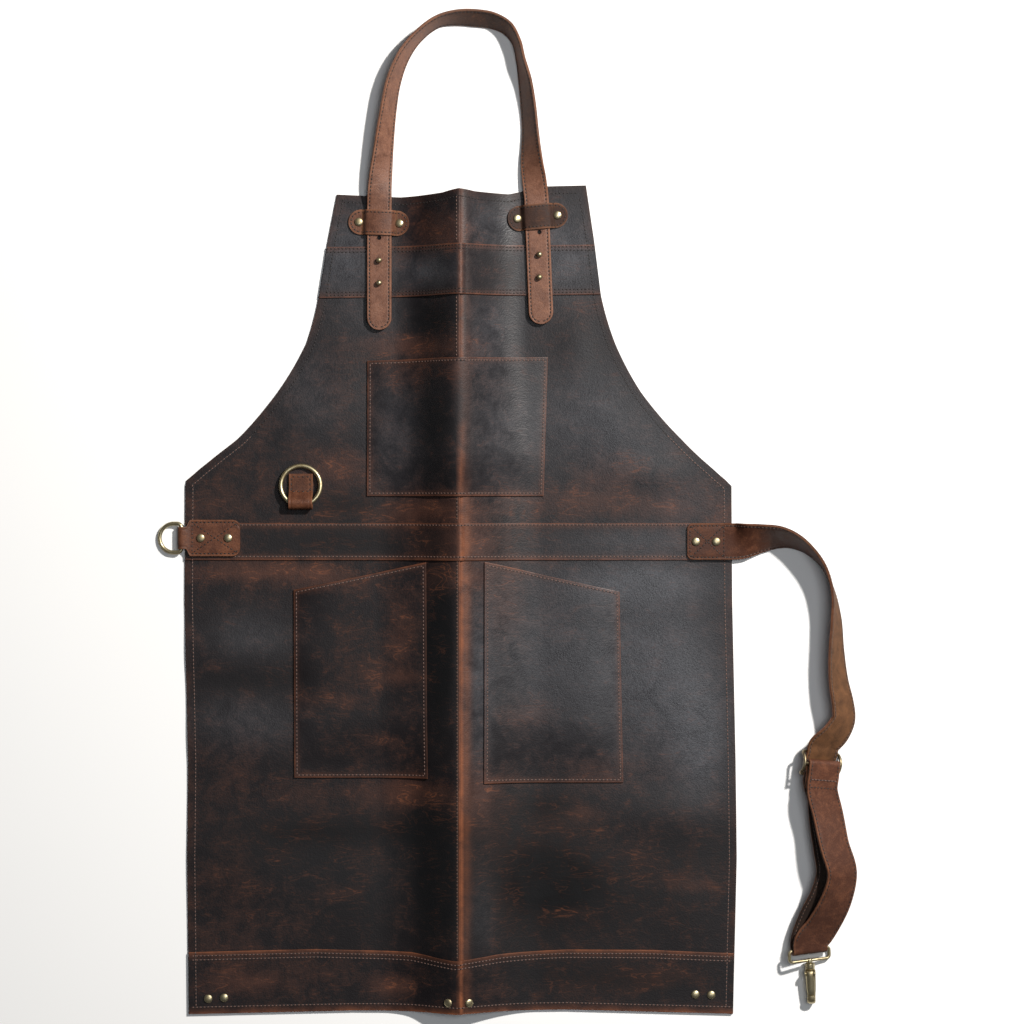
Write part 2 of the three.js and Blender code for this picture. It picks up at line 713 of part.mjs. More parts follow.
function ringTab() {
  const { bore, wall: skin, long, wide } = RING_TAB;
  const out = bore + skin;
  const outline = new THREE.Shape();
  outline.moveTo(0, 0);
  outline.lineTo(long, 0);
  outline.lineTo(long, TAB_WALL);
  outline.lineTo(out * 2, TAB_WALL);
  outline.absarc(0, out, out, radians(35), radians(270), false);
  const axes = new THREE.Matrix4().makeBasis(
    new THREE.Vector3(0, 1, 0),
    new THREE.Vector3(0, 0, 1),
    new THREE.Vector3(1, 0, 0),
  );
  return foldedTab(outline, { x: 0, y: out, radius: bore }, wide).applyMatrix4(axes);
}

function sideTab() {
  const { bore, wall: skin, end, half, neckHalf, corner } = SIDE_TAB;
  const long = end - SIDE_RING.x;
  const out = bore + skin;
  const loop = new THREE.Shape();
  loop.moveTo(out + 2, 0);
  loop.lineTo(out + 2, TAB_WALL);
  loop.absarc(0, skin, out, radians(42), radians(337), false);
  const axes = new THREE.Matrix4().makeBasis(
    new THREE.Vector3(1, 0, 0),
    new THREE.Vector3(0, 0, 1),
    new THREE.Vector3(0, -1, 0),
  );
  const neck = foldedTab(loop, { x: 0, y: skin, radius: bore }, 2 * neckHalf).applyMatrix4(axes);
  const plan = new THREE.Shape();
  plan.moveTo(out + 0.8, -neckHalf);
  plan.lineTo(out + 4.5, -half);
  plan.absarc(long - corner, -half + corner, corner, -Math.PI / 2, 0, false);
  plan.absarc(long - corner, half - corner, corner, 0, Math.PI / 2, false);
  plan.lineTo(out + 4.5, half);
  plan.lineTo(out + 0.8, neckHalf);
  const plate = new THREE.ExtrudeGeometry(plan, { depth: TAB_WALL, bevelEnabled: false, curveSegments: 4 });
  return joined(neck, plate);
}

// Slider in its own frame: x along the strap, y across it, z out of the strap's upper face
function slider() {
  const { half, reach, drop, wire } = SLIDER;
  const corner = 4;
  const flat = roundedRectangle(reach, half, corner, 2);
  const sides = [-half, half].flatMap((y) => {
    return [-0.45, 0, 0.45].map((part) => new THREE.Vector3(part * reach, y, 0));
  });
  const points = [...flat, ...sides];
  points.sort((a, b) => Math.atan2(a.y / half, a.x / reach) - Math.atan2(b.y / half, b.x / reach));
  for (const point of points) {
    point.z = -drop * (point.x / reach) ** 2;
  }
  const frame = wireLoop(points, wire, 6);
  const bar = new THREE.CylinderGeometry(wire, wire, 2 * half, 8);
  return joined(frame, bar);
}

// A round bar along x
function xBar(radius, from, to, sides) {
  return new THREE.CylinderGeometry(radius, radius, to - from, sides)
    .rotateZ(Math.PI / 2)
    .translate((from + to) / 2, 0, 0);
}

function plate(shape, low, high, curveSegments) {
  return new THREE.ExtrudeGeometry(shape, { depth: high - low, bevelEnabled: false, curveSegments })
    .translate(0, 0, low);
}

// Snap hook's loop, x from its upper bar: a wire frame with a headed post on its lower bar
function hookLoop() {
  const { half, long, corner, wire } = HOOK_LOOP;
  const points = roundedRectangle(long / 2, half, corner, 2);
  const frame = wireLoop(points.map((point) => point.setX(point.x + long / 2)), wire, 6);
  const boss = xBar(SWIVEL.boss, long - wire, long + 2.4, 10);
  const post = xBar(SWIVEL.post, long + 2, long + 5.5, 8);
  const head = xBar(SWIVEL.head, long + 4.9, long + 6.5, 10);
  return joined(frame, boss, post, head);
}

// Body of the hook, x from the loop's lower bar: a collar, a back and a curled nose, with two ears
function hookBody() {
  const { half, slotHalf, tip, nose, back, eyeBack } = HOOK_BODY;
  const bend = (nose - back) / 2;
  const eye = (3.7 - eyeBack) / 2;
  const outline = new THREE.Shape();
  outline.moveTo(9, -4.4);
  outline.lineTo(14, back);
  outline.absarc(tip + 3, back + bend, bend, -Math.PI / 2, Math.PI / 2, false);
  outline.lineTo(tip, nose);
  outline.lineTo(tip, 3.7);
  outline.absarc(tip + 3, eyeBack + eye, eye, Math.PI / 2, -Math.PI / 2, true);
  outline.lineTo(17.5, eyeBack);
  outline.lineTo(16, 1.6);
  outline.lineTo(9, 1.6);
  const ear = new THREE.Shape();
  ear.moveTo(GATE.x - 2.7, 0.6);
  ear.lineTo(GATE.x + 2.7, 0.6);
  ear.absarc(GATE.x, GATE.y, 2.7, 0, Math.PI, false);
  const pin = new THREE.CylinderGeometry(GATE.pin, GATE.pin, 2 * half, 8)
    .rotateX(Math.PI / 2)
    .translate(GATE.x, GATE.y, 0);
  const cup = cut(xBar(SWIVEL.collar, 2.8, 9.8, 12), [
    xBar(SWIVEL.bore, 2, 5, 8),
    xBar(SWIVEL.chamber, 4.5, 6.9, 10),
  ]);
  return joined(
    cup,
    plate(outline, -half, half, 6),
    plate(ear, -half, -slotHalf, 5),
    plate(ear, slotHalf, half, 5),
    pin,
  );
}

// Sprung gate, x and y from its pin
function hookGate() {
  const { half, disc, bore, low, high, gap, x, y } = GATE;
  const reach = HOOK_BODY.tip - gap - x;
  const outline = new THREE.Shape();
  outline.moveTo(reach, low - y);
  outline.lineTo(reach, high - y);
  outline.lineTo(0.9, high - y + 0.6);
  outline.absarc(0, 0, disc, radians(70), radians(320), false);
  outline.lineTo(disc + 1, low - y);
  outline.holes.push(new THREE.Path().absarc(0, 0, bore, 0, 2 * Math.PI, true));
  return plate(outline, -half, half, 5);
}

const apron = new THREE.Group();
apron.name = "apron";

// Shape with holes drilled at the given spots for rivets
function riveted(geometry, spots) {
  return cut(geometry, spots.map(rivetDrill));
}

function add(parent, name, geometry, material) {
  const mesh = new THREE.Mesh(geometry, material);
  mesh.name = name;
  parent.add(mesh);
  return mesh;
}

const rivetSpots = {
  hem: HEM_RIVETS,
  keeperLeft: keeperRivetSpots(KEEPERS.left),
  keeperRight: keeperRivetSpots(KEEPERS.right),
  tab: SIDE_TAB_RIVETS.map((x) => ({ x, y: SIDE_RING.y })),
  strap: STRAP_RIVETS.map((x) => ({ x, y: WAIST_END.y })),
};
const allSpots = [...Object.values(rivetSpots).flat(), ...studSpots];
const waistSpots = [...rivetSpots.tab, ...rivetSpots.strap];
const freeSpots = Object.values(STUDS).map(({ x, freeHole }) => ({ x, y: freeHole }));
const strapHoles = [...studSpots, ...freeSpots].map(({ x, y }) => drill(x, y, NECK_HOLE, NECK_HOLE));

// Body and trim
add(apron, "body_left", riveted(leftPanel(), allSpots), leather(LEATHER.body));
add(apron, "body_right", riveted(rightPanel(), allSpots), leather(LEATHER.body));
add(apron, "chest_band", riveted(band(BANDS.chest_band), studSpots), leather(LEATHER.body));
add(apron, "waist_band", riveted(band(BANDS.waist_band), waistSpots), leather(LEATHER.body));
add(apron, "hem_band", riveted(band(BANDS.hem_band), rivetSpots.hem), leather(LEATHER.body));
for (const [name, shape] of Object.entries(POCKETS)) {
  add(apron, name, pocket(shape), leather(LEATHER.body));
}

// Straps and keepers
const neckShape = cut(strapWall(neckStrap()), strapHoles);
const waistShape = riveted(strapWall(waistStrap()), rivetSpots.strap);
const leftKeeperShape = riveted(keeper(KEEPERS.left), rivetSpots.keeperLeft);
const rightKeeperShape = riveted(keeper(KEEPERS.right), rivetSpots.keeperRight);
add(apron, "neck_strap", neckShape, leather(LEATHER.strap));
add(apron, "left_keeper", leftKeeperShape, leather(LEATHER.strap));
add(apron, "right_keeper", rightKeeperShape, leather(LEATHER.strap));
add(apron, "waist_strap", waistShape, leather(LEATHER.strap));

// Studs and rivets
const studNames = ["left_stud_lower", "left_stud_upper", "right_stud_lower", "right_stud_upper"];
studNames.forEach((name, i) => add(apron, name, stud(studSpots[i].x, studSpots[i].y), metal(METAL.brass)));
const onBody = BODY_WALL + GAP;
const onBand = onBody + TRIM_WALL + GAP;
const onKeeper = onBody + KEEPER.seat + TRIM_WALL;
const rivetRows = [
  { name: "left_keeper_rivet", spots: rivetSpots.keeperLeft, top: () => onKeeper },
  { name: "right_keeper_rivet", spots: rivetSpots.keeperRight, top: () => onKeeper },
  { name: "side_tab_rivet", spots: rivetSpots.tab, top: () => onBand + TAB_WALL },
  { name: "strap_rivet", spots: rivetSpots.strap, top: () => onBand + STRAP_WALL },
  { name: "hem_rivet", spots: rivetSpots.hem, top: ({ x }) => trimBase(x) + TRIM_WALL },
];
for (const { name, spots, top } of rivetRows) {
  spots.forEach((spot, i) => {
    add(apron, `${name}_${"abcdef"[i]}`, rivet(spot.x, spot.y, top(spot)), metal(METAL.brass));
  });
}

// Towel ring, lying back over its own tab
const ringTabMesh = add(apron, "ring_tab", ringTab(), leather(LEATHER.strap));
ringTabMesh.position.set(TOWEL_RING.x, TOWEL_RING.y, onBody);
const towelRingMesh = add(apron, "towel_ring", towelRing(), metal(METAL.brass));
towelRingMesh.position.set(TOWEL_RING.x, TOWEL_RING.y, onBody + RING_TAB.bore + RING_TAB.wall);
towelRingMesh.rotation.x = -radians(TOWEL_RING.droop);

// D-ring at the left edge
const sideTabShape = sideTab().translate(SIDE_RING.x, SIDE_RING.y, onBand);
add(apron, "side_tab", riveted(sideTabShape, rivetSpots.tab), leather(LEATHER.strap));
const sideRingMesh = add(apron, "side_ring", sideRing(), metal(METAL.brass));
sideRingMesh.position.set(SIDE_RING.x, SIDE_RING.y, onBand + SIDE_TAB.wall);
sideRingMesh.rotation.y = -radians(SIDE_RING.droop);

// Slider and snap hook on the waist strap
function framed({ origin, u, v, n }) {
  const group = new THREE.Group();
  group.position.copy(origin);
  group.quaternion.setFromRotationMatrix(new THREE.Matrix4().makeBasis(u, v.clone().negate(), n));
  apron.add(group);
  return group;
}

add(framed(sliderFrame), "slider", slider(), metal(METAL.dark));
const hookGroup = framed(hookFrame);
add(hookGroup, "hook_loop", hookLoop(), metal(METAL.brass));
const swivel = new THREE.Group();
swivel.position.x = HOOK_LOOP.long;
swivel.rotation.x = radians(90 + HOOK.lean + HOOK.roll);
hookGroup.add(swivel);
add(swivel, "hook_body", hookBody(), metal(METAL.brass));
const gateMesh = add(swivel, "hook_gate", hookGate(), metal(METAL.brass));
gateMesh.position.set(GATE.x, GATE.y, 0);

// The origin is at the middle of the whole thing, on the floor
const box = new THREE.Box3().setFromObject(apron, true);
const middle = box.getCenter(new THREE.Vector3());
apron.position.set(-middle.x, -middle.y, -box.min.z);

export default apron;
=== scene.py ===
# %% [markdown]
# # A leather work apron, dressed over its CAD frame
# The real apron is cut from dark brown waxed leather: two half panels lapped along the middle, bands and
# patch pockets sewn on top, straps of a redder leather and antique brass hardware. It lies on its back
# and is seen from straight above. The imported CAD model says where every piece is, so each step below
# makes a finer piece in the same place, in metres, and lets it stand for its CAD node.

# %% Load the frame
import json
import math

import bpy
import numpy as np
from mathutils import Matrix, Vector

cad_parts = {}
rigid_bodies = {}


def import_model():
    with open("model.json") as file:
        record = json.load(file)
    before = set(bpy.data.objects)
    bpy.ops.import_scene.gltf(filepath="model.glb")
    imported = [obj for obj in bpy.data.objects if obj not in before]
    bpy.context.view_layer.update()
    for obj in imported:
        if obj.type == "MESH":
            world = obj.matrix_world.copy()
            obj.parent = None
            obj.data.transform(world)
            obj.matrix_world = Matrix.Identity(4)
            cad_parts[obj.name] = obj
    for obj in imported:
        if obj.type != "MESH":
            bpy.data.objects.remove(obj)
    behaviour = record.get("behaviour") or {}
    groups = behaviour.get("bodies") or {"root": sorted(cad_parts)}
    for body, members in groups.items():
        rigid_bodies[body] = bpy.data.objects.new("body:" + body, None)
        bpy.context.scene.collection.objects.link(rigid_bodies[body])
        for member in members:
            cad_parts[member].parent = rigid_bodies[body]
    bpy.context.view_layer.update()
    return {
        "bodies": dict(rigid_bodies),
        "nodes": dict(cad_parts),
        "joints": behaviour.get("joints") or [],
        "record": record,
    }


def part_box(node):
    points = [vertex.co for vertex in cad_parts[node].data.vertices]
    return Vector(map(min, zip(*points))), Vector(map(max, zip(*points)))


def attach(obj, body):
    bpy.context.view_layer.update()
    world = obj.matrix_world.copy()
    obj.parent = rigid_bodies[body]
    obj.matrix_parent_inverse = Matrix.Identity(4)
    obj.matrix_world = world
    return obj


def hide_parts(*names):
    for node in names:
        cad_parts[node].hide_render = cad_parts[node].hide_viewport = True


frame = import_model()
bpy.ops.object.select_all(action="DESELECT")

# %% [markdown]
# ## One measure for everything
# A leather cutter measures from the centre seam and up from the hem, in millimetres. Keeping that measure
# makes the tables below easy to read against a tape. The left panel's lapped edge is the seam itself, so
# its CAD box gives the shift from the cutter's measure to the part's own frame.

# %% The cutter's measure
MM = 0.001
HEM_DIP = 2
SEAM_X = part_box("body_left")[1].x
HEM_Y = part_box("body_left")[0].y + HEM_DIP * MM
PIXEL = 1.04
SEAM_COLUMN, HEM_ROW = 460.5, 1012


def to_part(points):
    """Cutter's millimetres to metres in the part's frame."""
    return np.asarray(points, float) * MM + (SEAM_X, HEM_Y, 0)


def from_part(points):
    return (np.asarray(points, float) - (SEAM_X, HEM_Y, 0)) / MM


def at_pixel(across, down):
    """Where a pixel of the picture lies on the floor, in the cutter's millimetres."""
    return (across - SEAM_COLUMN) * PIXEL, (HEM_ROW - down) * PIXEL


print(f"seam at x {SEAM_X:.4f} m, hem at y {HEM_Y:.4f} m")

# %% [markdown]
# ## Camera, floor and light
# The picture looks straight down with the hem at the bottom. A camera far up with a long lens keeps the
# raised straps from leaning outwards. The light is a studio version of a low sun: a key from the upper
# right that leaves the left flank of the centre fold dark, a wide softbox that the right half of the
# leather mirrors, and a dim pale room. Lights that the camera can't see keep other views clean.

# %% Camera and studio
FRAME_PIXELS = 1024
EYE_HEIGHT = 3.2
SENSOR = 36.0
scene = bpy.context.scene
scene.view_settings.view_transform = "Standard"

eye = bpy.data.cameras.new("eye")
eye.sensor_width = SENSOR
eye.lens = SENSOR * EYE_HEIGHT / (FRAME_PIXELS * PIXEL * MM)
eye_object = bpy.data.objects.new("eye", eye)
middle_x, middle_y = at_pixel(FRAME_PIXELS / 2, FRAME_PIXELS / 2)
eye_object.location = (*to_part((middle_x, middle_y, 0))[:2], EYE_HEIGHT)
scene.collection.objects.link(eye_object)
scene.camera = eye_object


def area_light(name, place, target, size, watts, colour):
    lamp = bpy.data.lights.new(name, "AREA")
    lamp.shape = "RECTANGLE"
    lamp.size, lamp.size_y = size
    lamp.energy = watts
    lamp.color = colour
    holder = bpy.data.objects.new(name, lamp)
    holder.location = place
    holder.rotation_euler = (Vector(target) - Vector(place)).to_track_quat("-Z", "Y").to_euler()
    holder.visible_camera = False
    scene.collection.objects.link(holder)


area_light("key", (1.4, 1.26, 2.07), (0, 0, 0), (0.16, 0.16), 127, (1.0, 0.965, 0.915))
area_light("softbox", (0.75, 0.2, 3.6), (0.3, 0.1, 0), (1.15, 1.35), 30, (0.94, 0.97, 1.0))
room = bpy.data.worlds.new("room")
room.use_nodes = True
room.node_tree.nodes["Background"].inputs["Color"].default_value = (0.86, 0.9, 0.95, 1)
room.node_tree.nodes["Background"].inputs["Strength"].default_value = 0.09
scene.world = room
print(f"lens {eye.lens:.1f} mm at {EYE_HEIGHT} m")

# %% [markdown]
# ## Helpers for node trees
# Every finish below is a tree of shader nodes. One small function that adds a node, sets its options and
# fills or links its sockets keeps each tree short enough to read.

# %% Node helpers
def put(tree, kind, options=None, sockets=None):
    """Add a node, set its options, and fill its sockets with values or links."""
    made = tree.nodes.new(kind)
    for key, value in (options or {}).items():
        setattr(made, key, value)
    for key, value in (sockets or {}).items():
        if isinstance(value, bpy.types.NodeSocket):
            tree.links.new(value, made.inputs[key])
        else:
            made.inputs[key].default_value = value
    return made


def maths(tree, operation, first, second=0.0, third=0.0, clamp=False):
    options = {"operation": operation, "use_clamp": clamp}
    return put(tree, "ShaderNodeMath", options, {0: first, 1: second, 2: third}).outputs[0]


def blend_colours(tree, factor, first, second):
    made = put(tree, "ShaderNodeMix", {"data_type": "RGBA"}, {0: factor, 6: first, 7: second})
    return made.outputs[2]


def darker(colour, share):
    return tuple(share * part for part in colour[:3]) + (1,)


def remap(tree, value, low, high, to_low=0.0, to_high=1.0):
    made = put(tree, "ShaderNodeMapRange", None, {0: value, 1: low, 2: high, 3: to_low, 4: to_high})
    return made.outputs[0]


def attribute(tree, name):
    return put(tree, "ShaderNodeAttribute", {"attribute_name": name}).outputs["Fac"]


def new_group(name, inputs, outputs):
    """A shader node group with named float or vector sockets."""
    group = bpy.data.node_groups.new(name, "ShaderNodeTree")
    for socket, kind in inputs:
        group.interface.new_socket(socket, in_out="INPUT", socket_type=kind)
    for socket in outputs:
        group.interface.new_socket(socket, in_out="OUTPUT", socket_type="NodeSocketFloat")
    return group, group.nodes.new("NodeGroupInput").outputs, group.nodes.new("NodeGroupOutput").inputs


def use_group(tree, group, sockets):
    return put(tree, "ShaderNodeGroup", {"node_tree": group}, sockets).outputs


def new_material(name):
    material = bpy.data.materials.new(name)
    material.use_nodes = True
    tree = material.node_tree
    place = put(tree, "ShaderNodeTexCoord").outputs["Object"]
    return material, tree, tree.nodes["Principled BSDF"], place


# %% [markdown]
# ## The floor
# A plain pale sheet of studio paper. A large plane is enough: only its tone matters.

# %% Floor
bpy.ops.mesh.primitive_plane_add(size=9)
floor = bpy.context.object
floor.name = "floor"
paper, tree, shader, place = new_material("studio_paper")
shader.inputs["Base Color"].default_value = (0.86, 0.86, 0.86, 1)
shader.inputs["Roughness"].default_value = 0.9
floor.data.materials.append(paper)
bpy.ops.object.select_all(action="DESELECT")
print(floor.name, "in", paper.name)

# %% [markdown]
# ## How the leather lies
# The apron was folded down the middle, and the fold still stands up as a soft ridge. Everything sewn to
# the front follows it, so one function gives the height of the leather's underside at any place, and one
# stands a point off it, square to the surface. A few low swells keep the panels from looking like card.

# %% Drape
FOLD_Y = (0, 61, 470, 540, 680, 860)
FOLD_RISE = (20, 27, 29, 32, 36, 33)
FOLD_REACH = (80, 88, 88, 84, 70, 68)
CREST_ROUND = 0.12
SWELLS = (  # across, up, half width, half length, height
    (-225, 372, 75, 26, 2.2),
    (-215, 285, 85, 30, 2.0),
    (-205, 150, 60, 38, 2.4),
    (-110, 120, 45, 60, 1.8),
    (-165, 618, 44, 28, 2.4),
    (-120, 655, 24, 40, 1.6),
    (225, 330, 40, 80, 2.2),
    (215, 205, 60, 26, 2.4),
    (120, 130, 60, 40, 2.2),
    (235, 110, 34, 50, 1.6),
    (160, 610, 44, 40, 2.4),
    (205, 560, 40, 18, 1.6),
    (120, 690, 20, 34, 1.4),
)


def lie(x, y):
    """Height of the apron's underside above the floor."""
    away = np.minimum(np.abs(x) / np.interp(y, FOLD_Y, FOLD_REACH), 1)
    part = (np.hypot(away, CREST_ROUND) - CREST_ROUND) / (math.hypot(1, CREST_ROUND) - CREST_ROUND)
    height = np.interp(y, FOLD_Y, FOLD_RISE) * (1 - part) ** 2
    for across, up, wide, long, rise in SWELLS:
        height = height + rise * np.exp(-(((x - across) / wide) ** 2) - ((y - up) / long) ** 2)
    return height


def up_at(x, y):
    step = 0.5
    slope_x = (lie(x + step, y) - lie(x - step, y)) / (2 * step)
    slope_y = (lie(x, y + step) - lie(x, y - step)) / (2 * step)
    normal = np.stack([-slope_x, -slope_y, np.ones_like(slope_x)], axis=-1)
    return normal / np.linalg.norm(normal, axis=-1, keepdims=True)


def on_apron(x, y, height):
    x, y, height = np.broadcast_arrays(np.asarray(x, float), y, height)
    return np.stack([x, y, lie(x, y)], axis=-1) + up_at(x, y) * height[..., None]


print(f"the fold stands {lie(0.0, 680.0):.1f} mm at the chest pocket")

# %% [markdown]
# ## The cut of the body
# The outline is a straight skirt, two hollow armholes and a tapering bib. A hand-cut hide is never quite
# even, so each side has a small sway on top of the drawn line. The left panel climbs over the right one at
# the seam, and what is sewn across both steps down again past its edge.

# %% Outline and layers
BODY_WALL = 2.0
TRIM_WALL = 1.6
GAP = 0.3
HALF_WIDTH = 284
SHOULDER_Y = 547
BIB_FOOT_HALF, BIB_FOOT_Y = 147, 745
BIB_TOP_HALF, BIB_TOP_Y = 129.5, 853
ARM_RADIUS, ARM_X, ARM_Y = 333.3, 471.1, 822.9
SWAY_Y = (0, 160, 262, 428, 547, 553, 566, 580, 597, 645, 695, 745, 800, 853)
SWAY = {
    -1: (-1.6, 0, -1, 2.6, 2, 9.2, 10.9, 9.3, 4.3, 0, -3.2, 0.2, 0.2, -1),
    1: (-0.6, 3.2, 2, -1.5, -2.2, 0.4, 2.5, 2.5, 2.4, -2, -2.4, -0.9, 1.2, 1),
}
HEM_X, HEM_AT = (-284, -110, 0, 110, 284), (-2, 2, 1.5, 3, -1.5)
TOP_X = (-129.5, -62, -16, 0, 14, 50, 88, 129.5)
TOP_AT = (850, 847, 849.6, 853.2, 851, 850, 858.5, 859.5)
LAP_UNDER, LAP_FROM, LAP_TO = -16, -52, -17
STEP_FROM, STEP_TO = 0.6, 4


def half_width(y, side):
    y = np.asarray(y, float)
    arm = ARM_X - np.sqrt(np.maximum(ARM_RADIUS**2 - (y - ARM_Y) ** 2, 0))
    bib = np.interp(y, (BIB_FOOT_Y, BIB_TOP_Y), (BIB_FOOT_HALF, BIB_TOP_HALF))
    drawn = np.where(y <= SHOULDER_Y, HALF_WIDTH, np.where(y >= BIB_FOOT_Y, bib, arm))
    return drawn + np.interp(y, SWAY_Y, SWAY[side])


def lap_step(x):
    part = np.clip((x - LAP_FROM) / (LAP_TO - LAP_FROM), 0, 1)
    return (BODY_WALL + GAP) * part**2 * (3 - 2 * part)


def trim_base(x):
    """Height of what is sewn across the front, over the lap and down past its edge."""
    step = BODY_WALL + GAP
    return step + np.minimum(lap_step(x), np.interp(x, (STEP_FROM, STEP_TO), (step, 0)))


print("half width at the armhole's middle:", float(half_width(646, -1)))

# %% [markdown]
# ## Where the leather is worn, and where sheen and shade are painted
# Waxed leather turns lighter and redder where it is bent or rubbed, and the wax gathers as a grey bloom
# where it is flat. The places are read from the picture as a handful of soft ellipses and stored on
# the mesh as named values that the leather's node tree reads. A point's place is known, so the values are
# worked out once the mesh is final.
# The grey map is mostly painted sheen, a lighter grey where flat leather mirrors the light, and the dark map
# is painted shade, mostly on the fold's left flank.

# %% Wear maps, painted sheen and painted shade
WARM = (  # picture column, picture row, half width, half height, amount
    (415, 346, 62, 11, 0.9), (445, 236, 34, 20, 0.55), (420, 376, 52, 14, 0.35), (262, 500, 62, 26, 0.12),
    (335, 468, 34, 18, 0.6), (385, 516, 70, 9, 0.35), (440, 508, 52, 13, 0.75), (555, 500, 56, 16, 0.5),
    (612, 474, 42, 22, 0.5), (645, 506, 70, 13, 0.45), (590, 312, 36, 20, 0.22), (462, 541, 42, 18, 0.85),
    (262, 572, 92, 10, 0.8), (318, 577, 26, 14, 0.5), (440, 578, 16, 16, 0.65), (372, 650, 52, 72, 0.2),
    (398, 677, 26, 9, 0.55), (404, 636, 13, 44, 0.4), (330, 700, 40, 8, 0.35), (384, 740, 26, 6, 0.3),
    (300, 792, 62, 12, 0.35), (418, 792, 46, 15, 0.8), (330, 850, 80, 40, 0.16), (250, 905, 62, 40, 0.22),
    (340, 892, 24, 5, 0.5), (300, 975, 130, 18, 0.22), (242, 982, 34, 11, 0.45), (388, 984, 28, 11, 0.7),
    (560, 985, 66, 16, 0.2), (655, 975, 44, 13, 0.55), (475, 577, 20, 10, 0.8), (500, 602, 20, 34, 0.45),
    (530, 714, 30, 12, 0.4), (605, 770, 34, 16, 0.35), (560, 828, 82, 30, 0.2), (584, 814, 18, 8, 0.8),
    (520, 882, 60, 28, 0.12), (640, 872, 62, 50, 0.15), (690, 885, 30, 9, 0.55), (565, 912, 32, 6, 0.5),
    (478, 800, 16, 40, 0.75), (205, 515, 16, 30, 0.3), (720, 520, 14, 26, 0.35), (360, 590, 60, 12, 0.3),
)
# Grey map: the wax's own grey bloom, and mostly a painted sheen of reflected light, strongest on the right
# half.
BLOOM_AND_SHEEN = (
    (505, 428, 40, 62, 0.6), (492, 330, 30, 40, 0.6), (494, 226, 30, 26, 0.7), (590, 415, 52, 56, 0.7),
    (655, 448, 46, 34, 0.42), (352, 250, 34, 44, 0.7), (372, 318, 44, 26, 0.3), (400, 460, 30, 34, 0.35),
    (545, 652, 74, 92, 0.62), (660, 672, 62, 96, 0.95), (640, 582, 72, 20, 0.8), (702, 742, 28, 60, 0.8),
    (252, 636, 44, 26, 0.42), (250, 722, 54, 28, 0.46), (228, 430, 30, 18, 0.2), (310, 395, 40, 50, 0.4),
    (480, 690, 12, 110, 0.5), (483, 905, 14, 40, 0.5), (565, 255, 40, 50, 0.85), (350, 872, 80, 40, 0.16),
    (428, 272, 28, 18, 0.85), (335, 270, 24, 24, 0.3), (640, 540, 70, 14, 0.45), (690, 500, 40, 30, 0.3),
    (402, 415, 34, 44, 0.4),
)
# Painted shade, painted near-black: the fold's left flank and the hollows between swells, with a little of
# the hide's own darker tone.
PAINTED_SHADE_PATCHES = (
    (441, 655, 14, 84, 1.0), (438, 880, 26, 70, 1.0), (432, 826, 42, 18, 0.7), (434, 320, 26, 20, 0.9),
    (436, 425, 22, 50, 0.85), (330, 830, 90, 16, 0.5), (250, 680, 52, 14, 0.5), (300, 440, 26, 30, 0.2),
    (530, 875, 64, 64, 0.65), (580, 975, 90, 20, 0.5), (360, 880, 60, 60, 0.35), (345, 505, 40, 16, 0.3),
    (440, 640, 18, 60, 0.7),
    (560, 880, 36, 24, 0.5), (548, 805, 30, 14, 0.4), (690, 840, 32, 30, 0.3), (400, 540, 60, 16, 0.4),
    (300, 542, 60, 16, 0.3), (280, 850, 60, 30, 0.3), (600, 900, 80, 44, 0.25), (660, 980, 70, 14, 0.35),
    (330, 885, 150, 66, 0.22), (600, 880, 150, 70, 0.25),
    (345, 508, 60, 14, 0.25), (235, 490, 60, 30, 0.12), (355, 680, 60, 90, 0.15),
)


def patches(table, x, y):
    total = np.zeros_like(x)
    for across, down, wide, high, amount in table:
        cx, cy = at_pixel(across, down)
        total += amount * np.exp(-(((x - cx) / (wide * PIXEL)) ** 2) - ((y - cy) / (high * PIXEL)) ** 2)
    return np.minimum(total, 1)


CREST_EDGE = ((470, 560, 700, 860), (0.95, 0.6, 0.6, 0.3))
CREST_RIDGE = ((60, 200, 440, 500, 560, 860), (0.25, 0.3, 0.5, 0.55, 0.12, 0.05))


def crest_rub(x, y):
    """Wear along the top of the fold: a thin line on the lapped edge and a soft one right of it."""
    edge = np.interp(y, *CREST_EDGE) * np.exp(-(((x - 1) / 2.2) ** 2))
    ridge = np.interp(y, *CREST_RIDGE) * np.exp(-(((x - 6) / 5) ** 2))
    return np.maximum(edge, ridge)


def keep_values(piece, **values):
    """Store one number per vertex under each name."""
    for name, numbers in values.items():
        made = piece.data.attributes.new(name, "FLOAT", "POINT")
        made.data.foreach_set("value", np.asarray(numbers, np.float32))


def places(piece):
    """The piece's vertices in the cutter's millimetres."""
    flat = np.empty(len(piece.data.vertices) * 3)
    piece.data.vertices.foreach_get("co", flat)
    return from_part(flat.reshape(-1, 3))


print(len(WARM), "warm,", len(BLOOM_AND_SHEEN), "bloomed and", len(PAINTED_SHADE_PATCHES), "dark patches")

# %% [markdown]
# ## Leather, in shader groups
# Two effects are shared by all the leather. The first is grain: the small pebbles and pores of the hide,
# made of Voronoi cells and noise, which go to a Bump node. The second is the cloudy pull-up of waxed
# leather, in soft blotches, with hair-thin scuffs where the wax was scratched. They read Object
# coordinates, so a pattern runs on from panel to band as if cut from one hide.

# %% Shared leather effects
GRAIN, given, asked = new_group(
    "hide_grain", (("Vector", "NodeSocketVector"), ("Size", "NodeSocketFloat")), ("Height",)
)
pebbles = put(GRAIN, "ShaderNodeTexVoronoi", {"feature": "SMOOTH_F1"},
              {"Vector": given["Vector"], "Scale": given["Size"], "Smoothness": 0.4})
pore_size = maths(GRAIN, "MULTIPLY", given["Size"], 0.45)
pores = put(GRAIN, "ShaderNodeTexNoise", None,
            {"Vector": given["Vector"], "Scale": pore_size, "Detail": 4.0})
GRAIN.links.new(maths(GRAIN, "ADD", pebbles.outputs["Distance"], pores.outputs["Fac"]), asked["Height"])

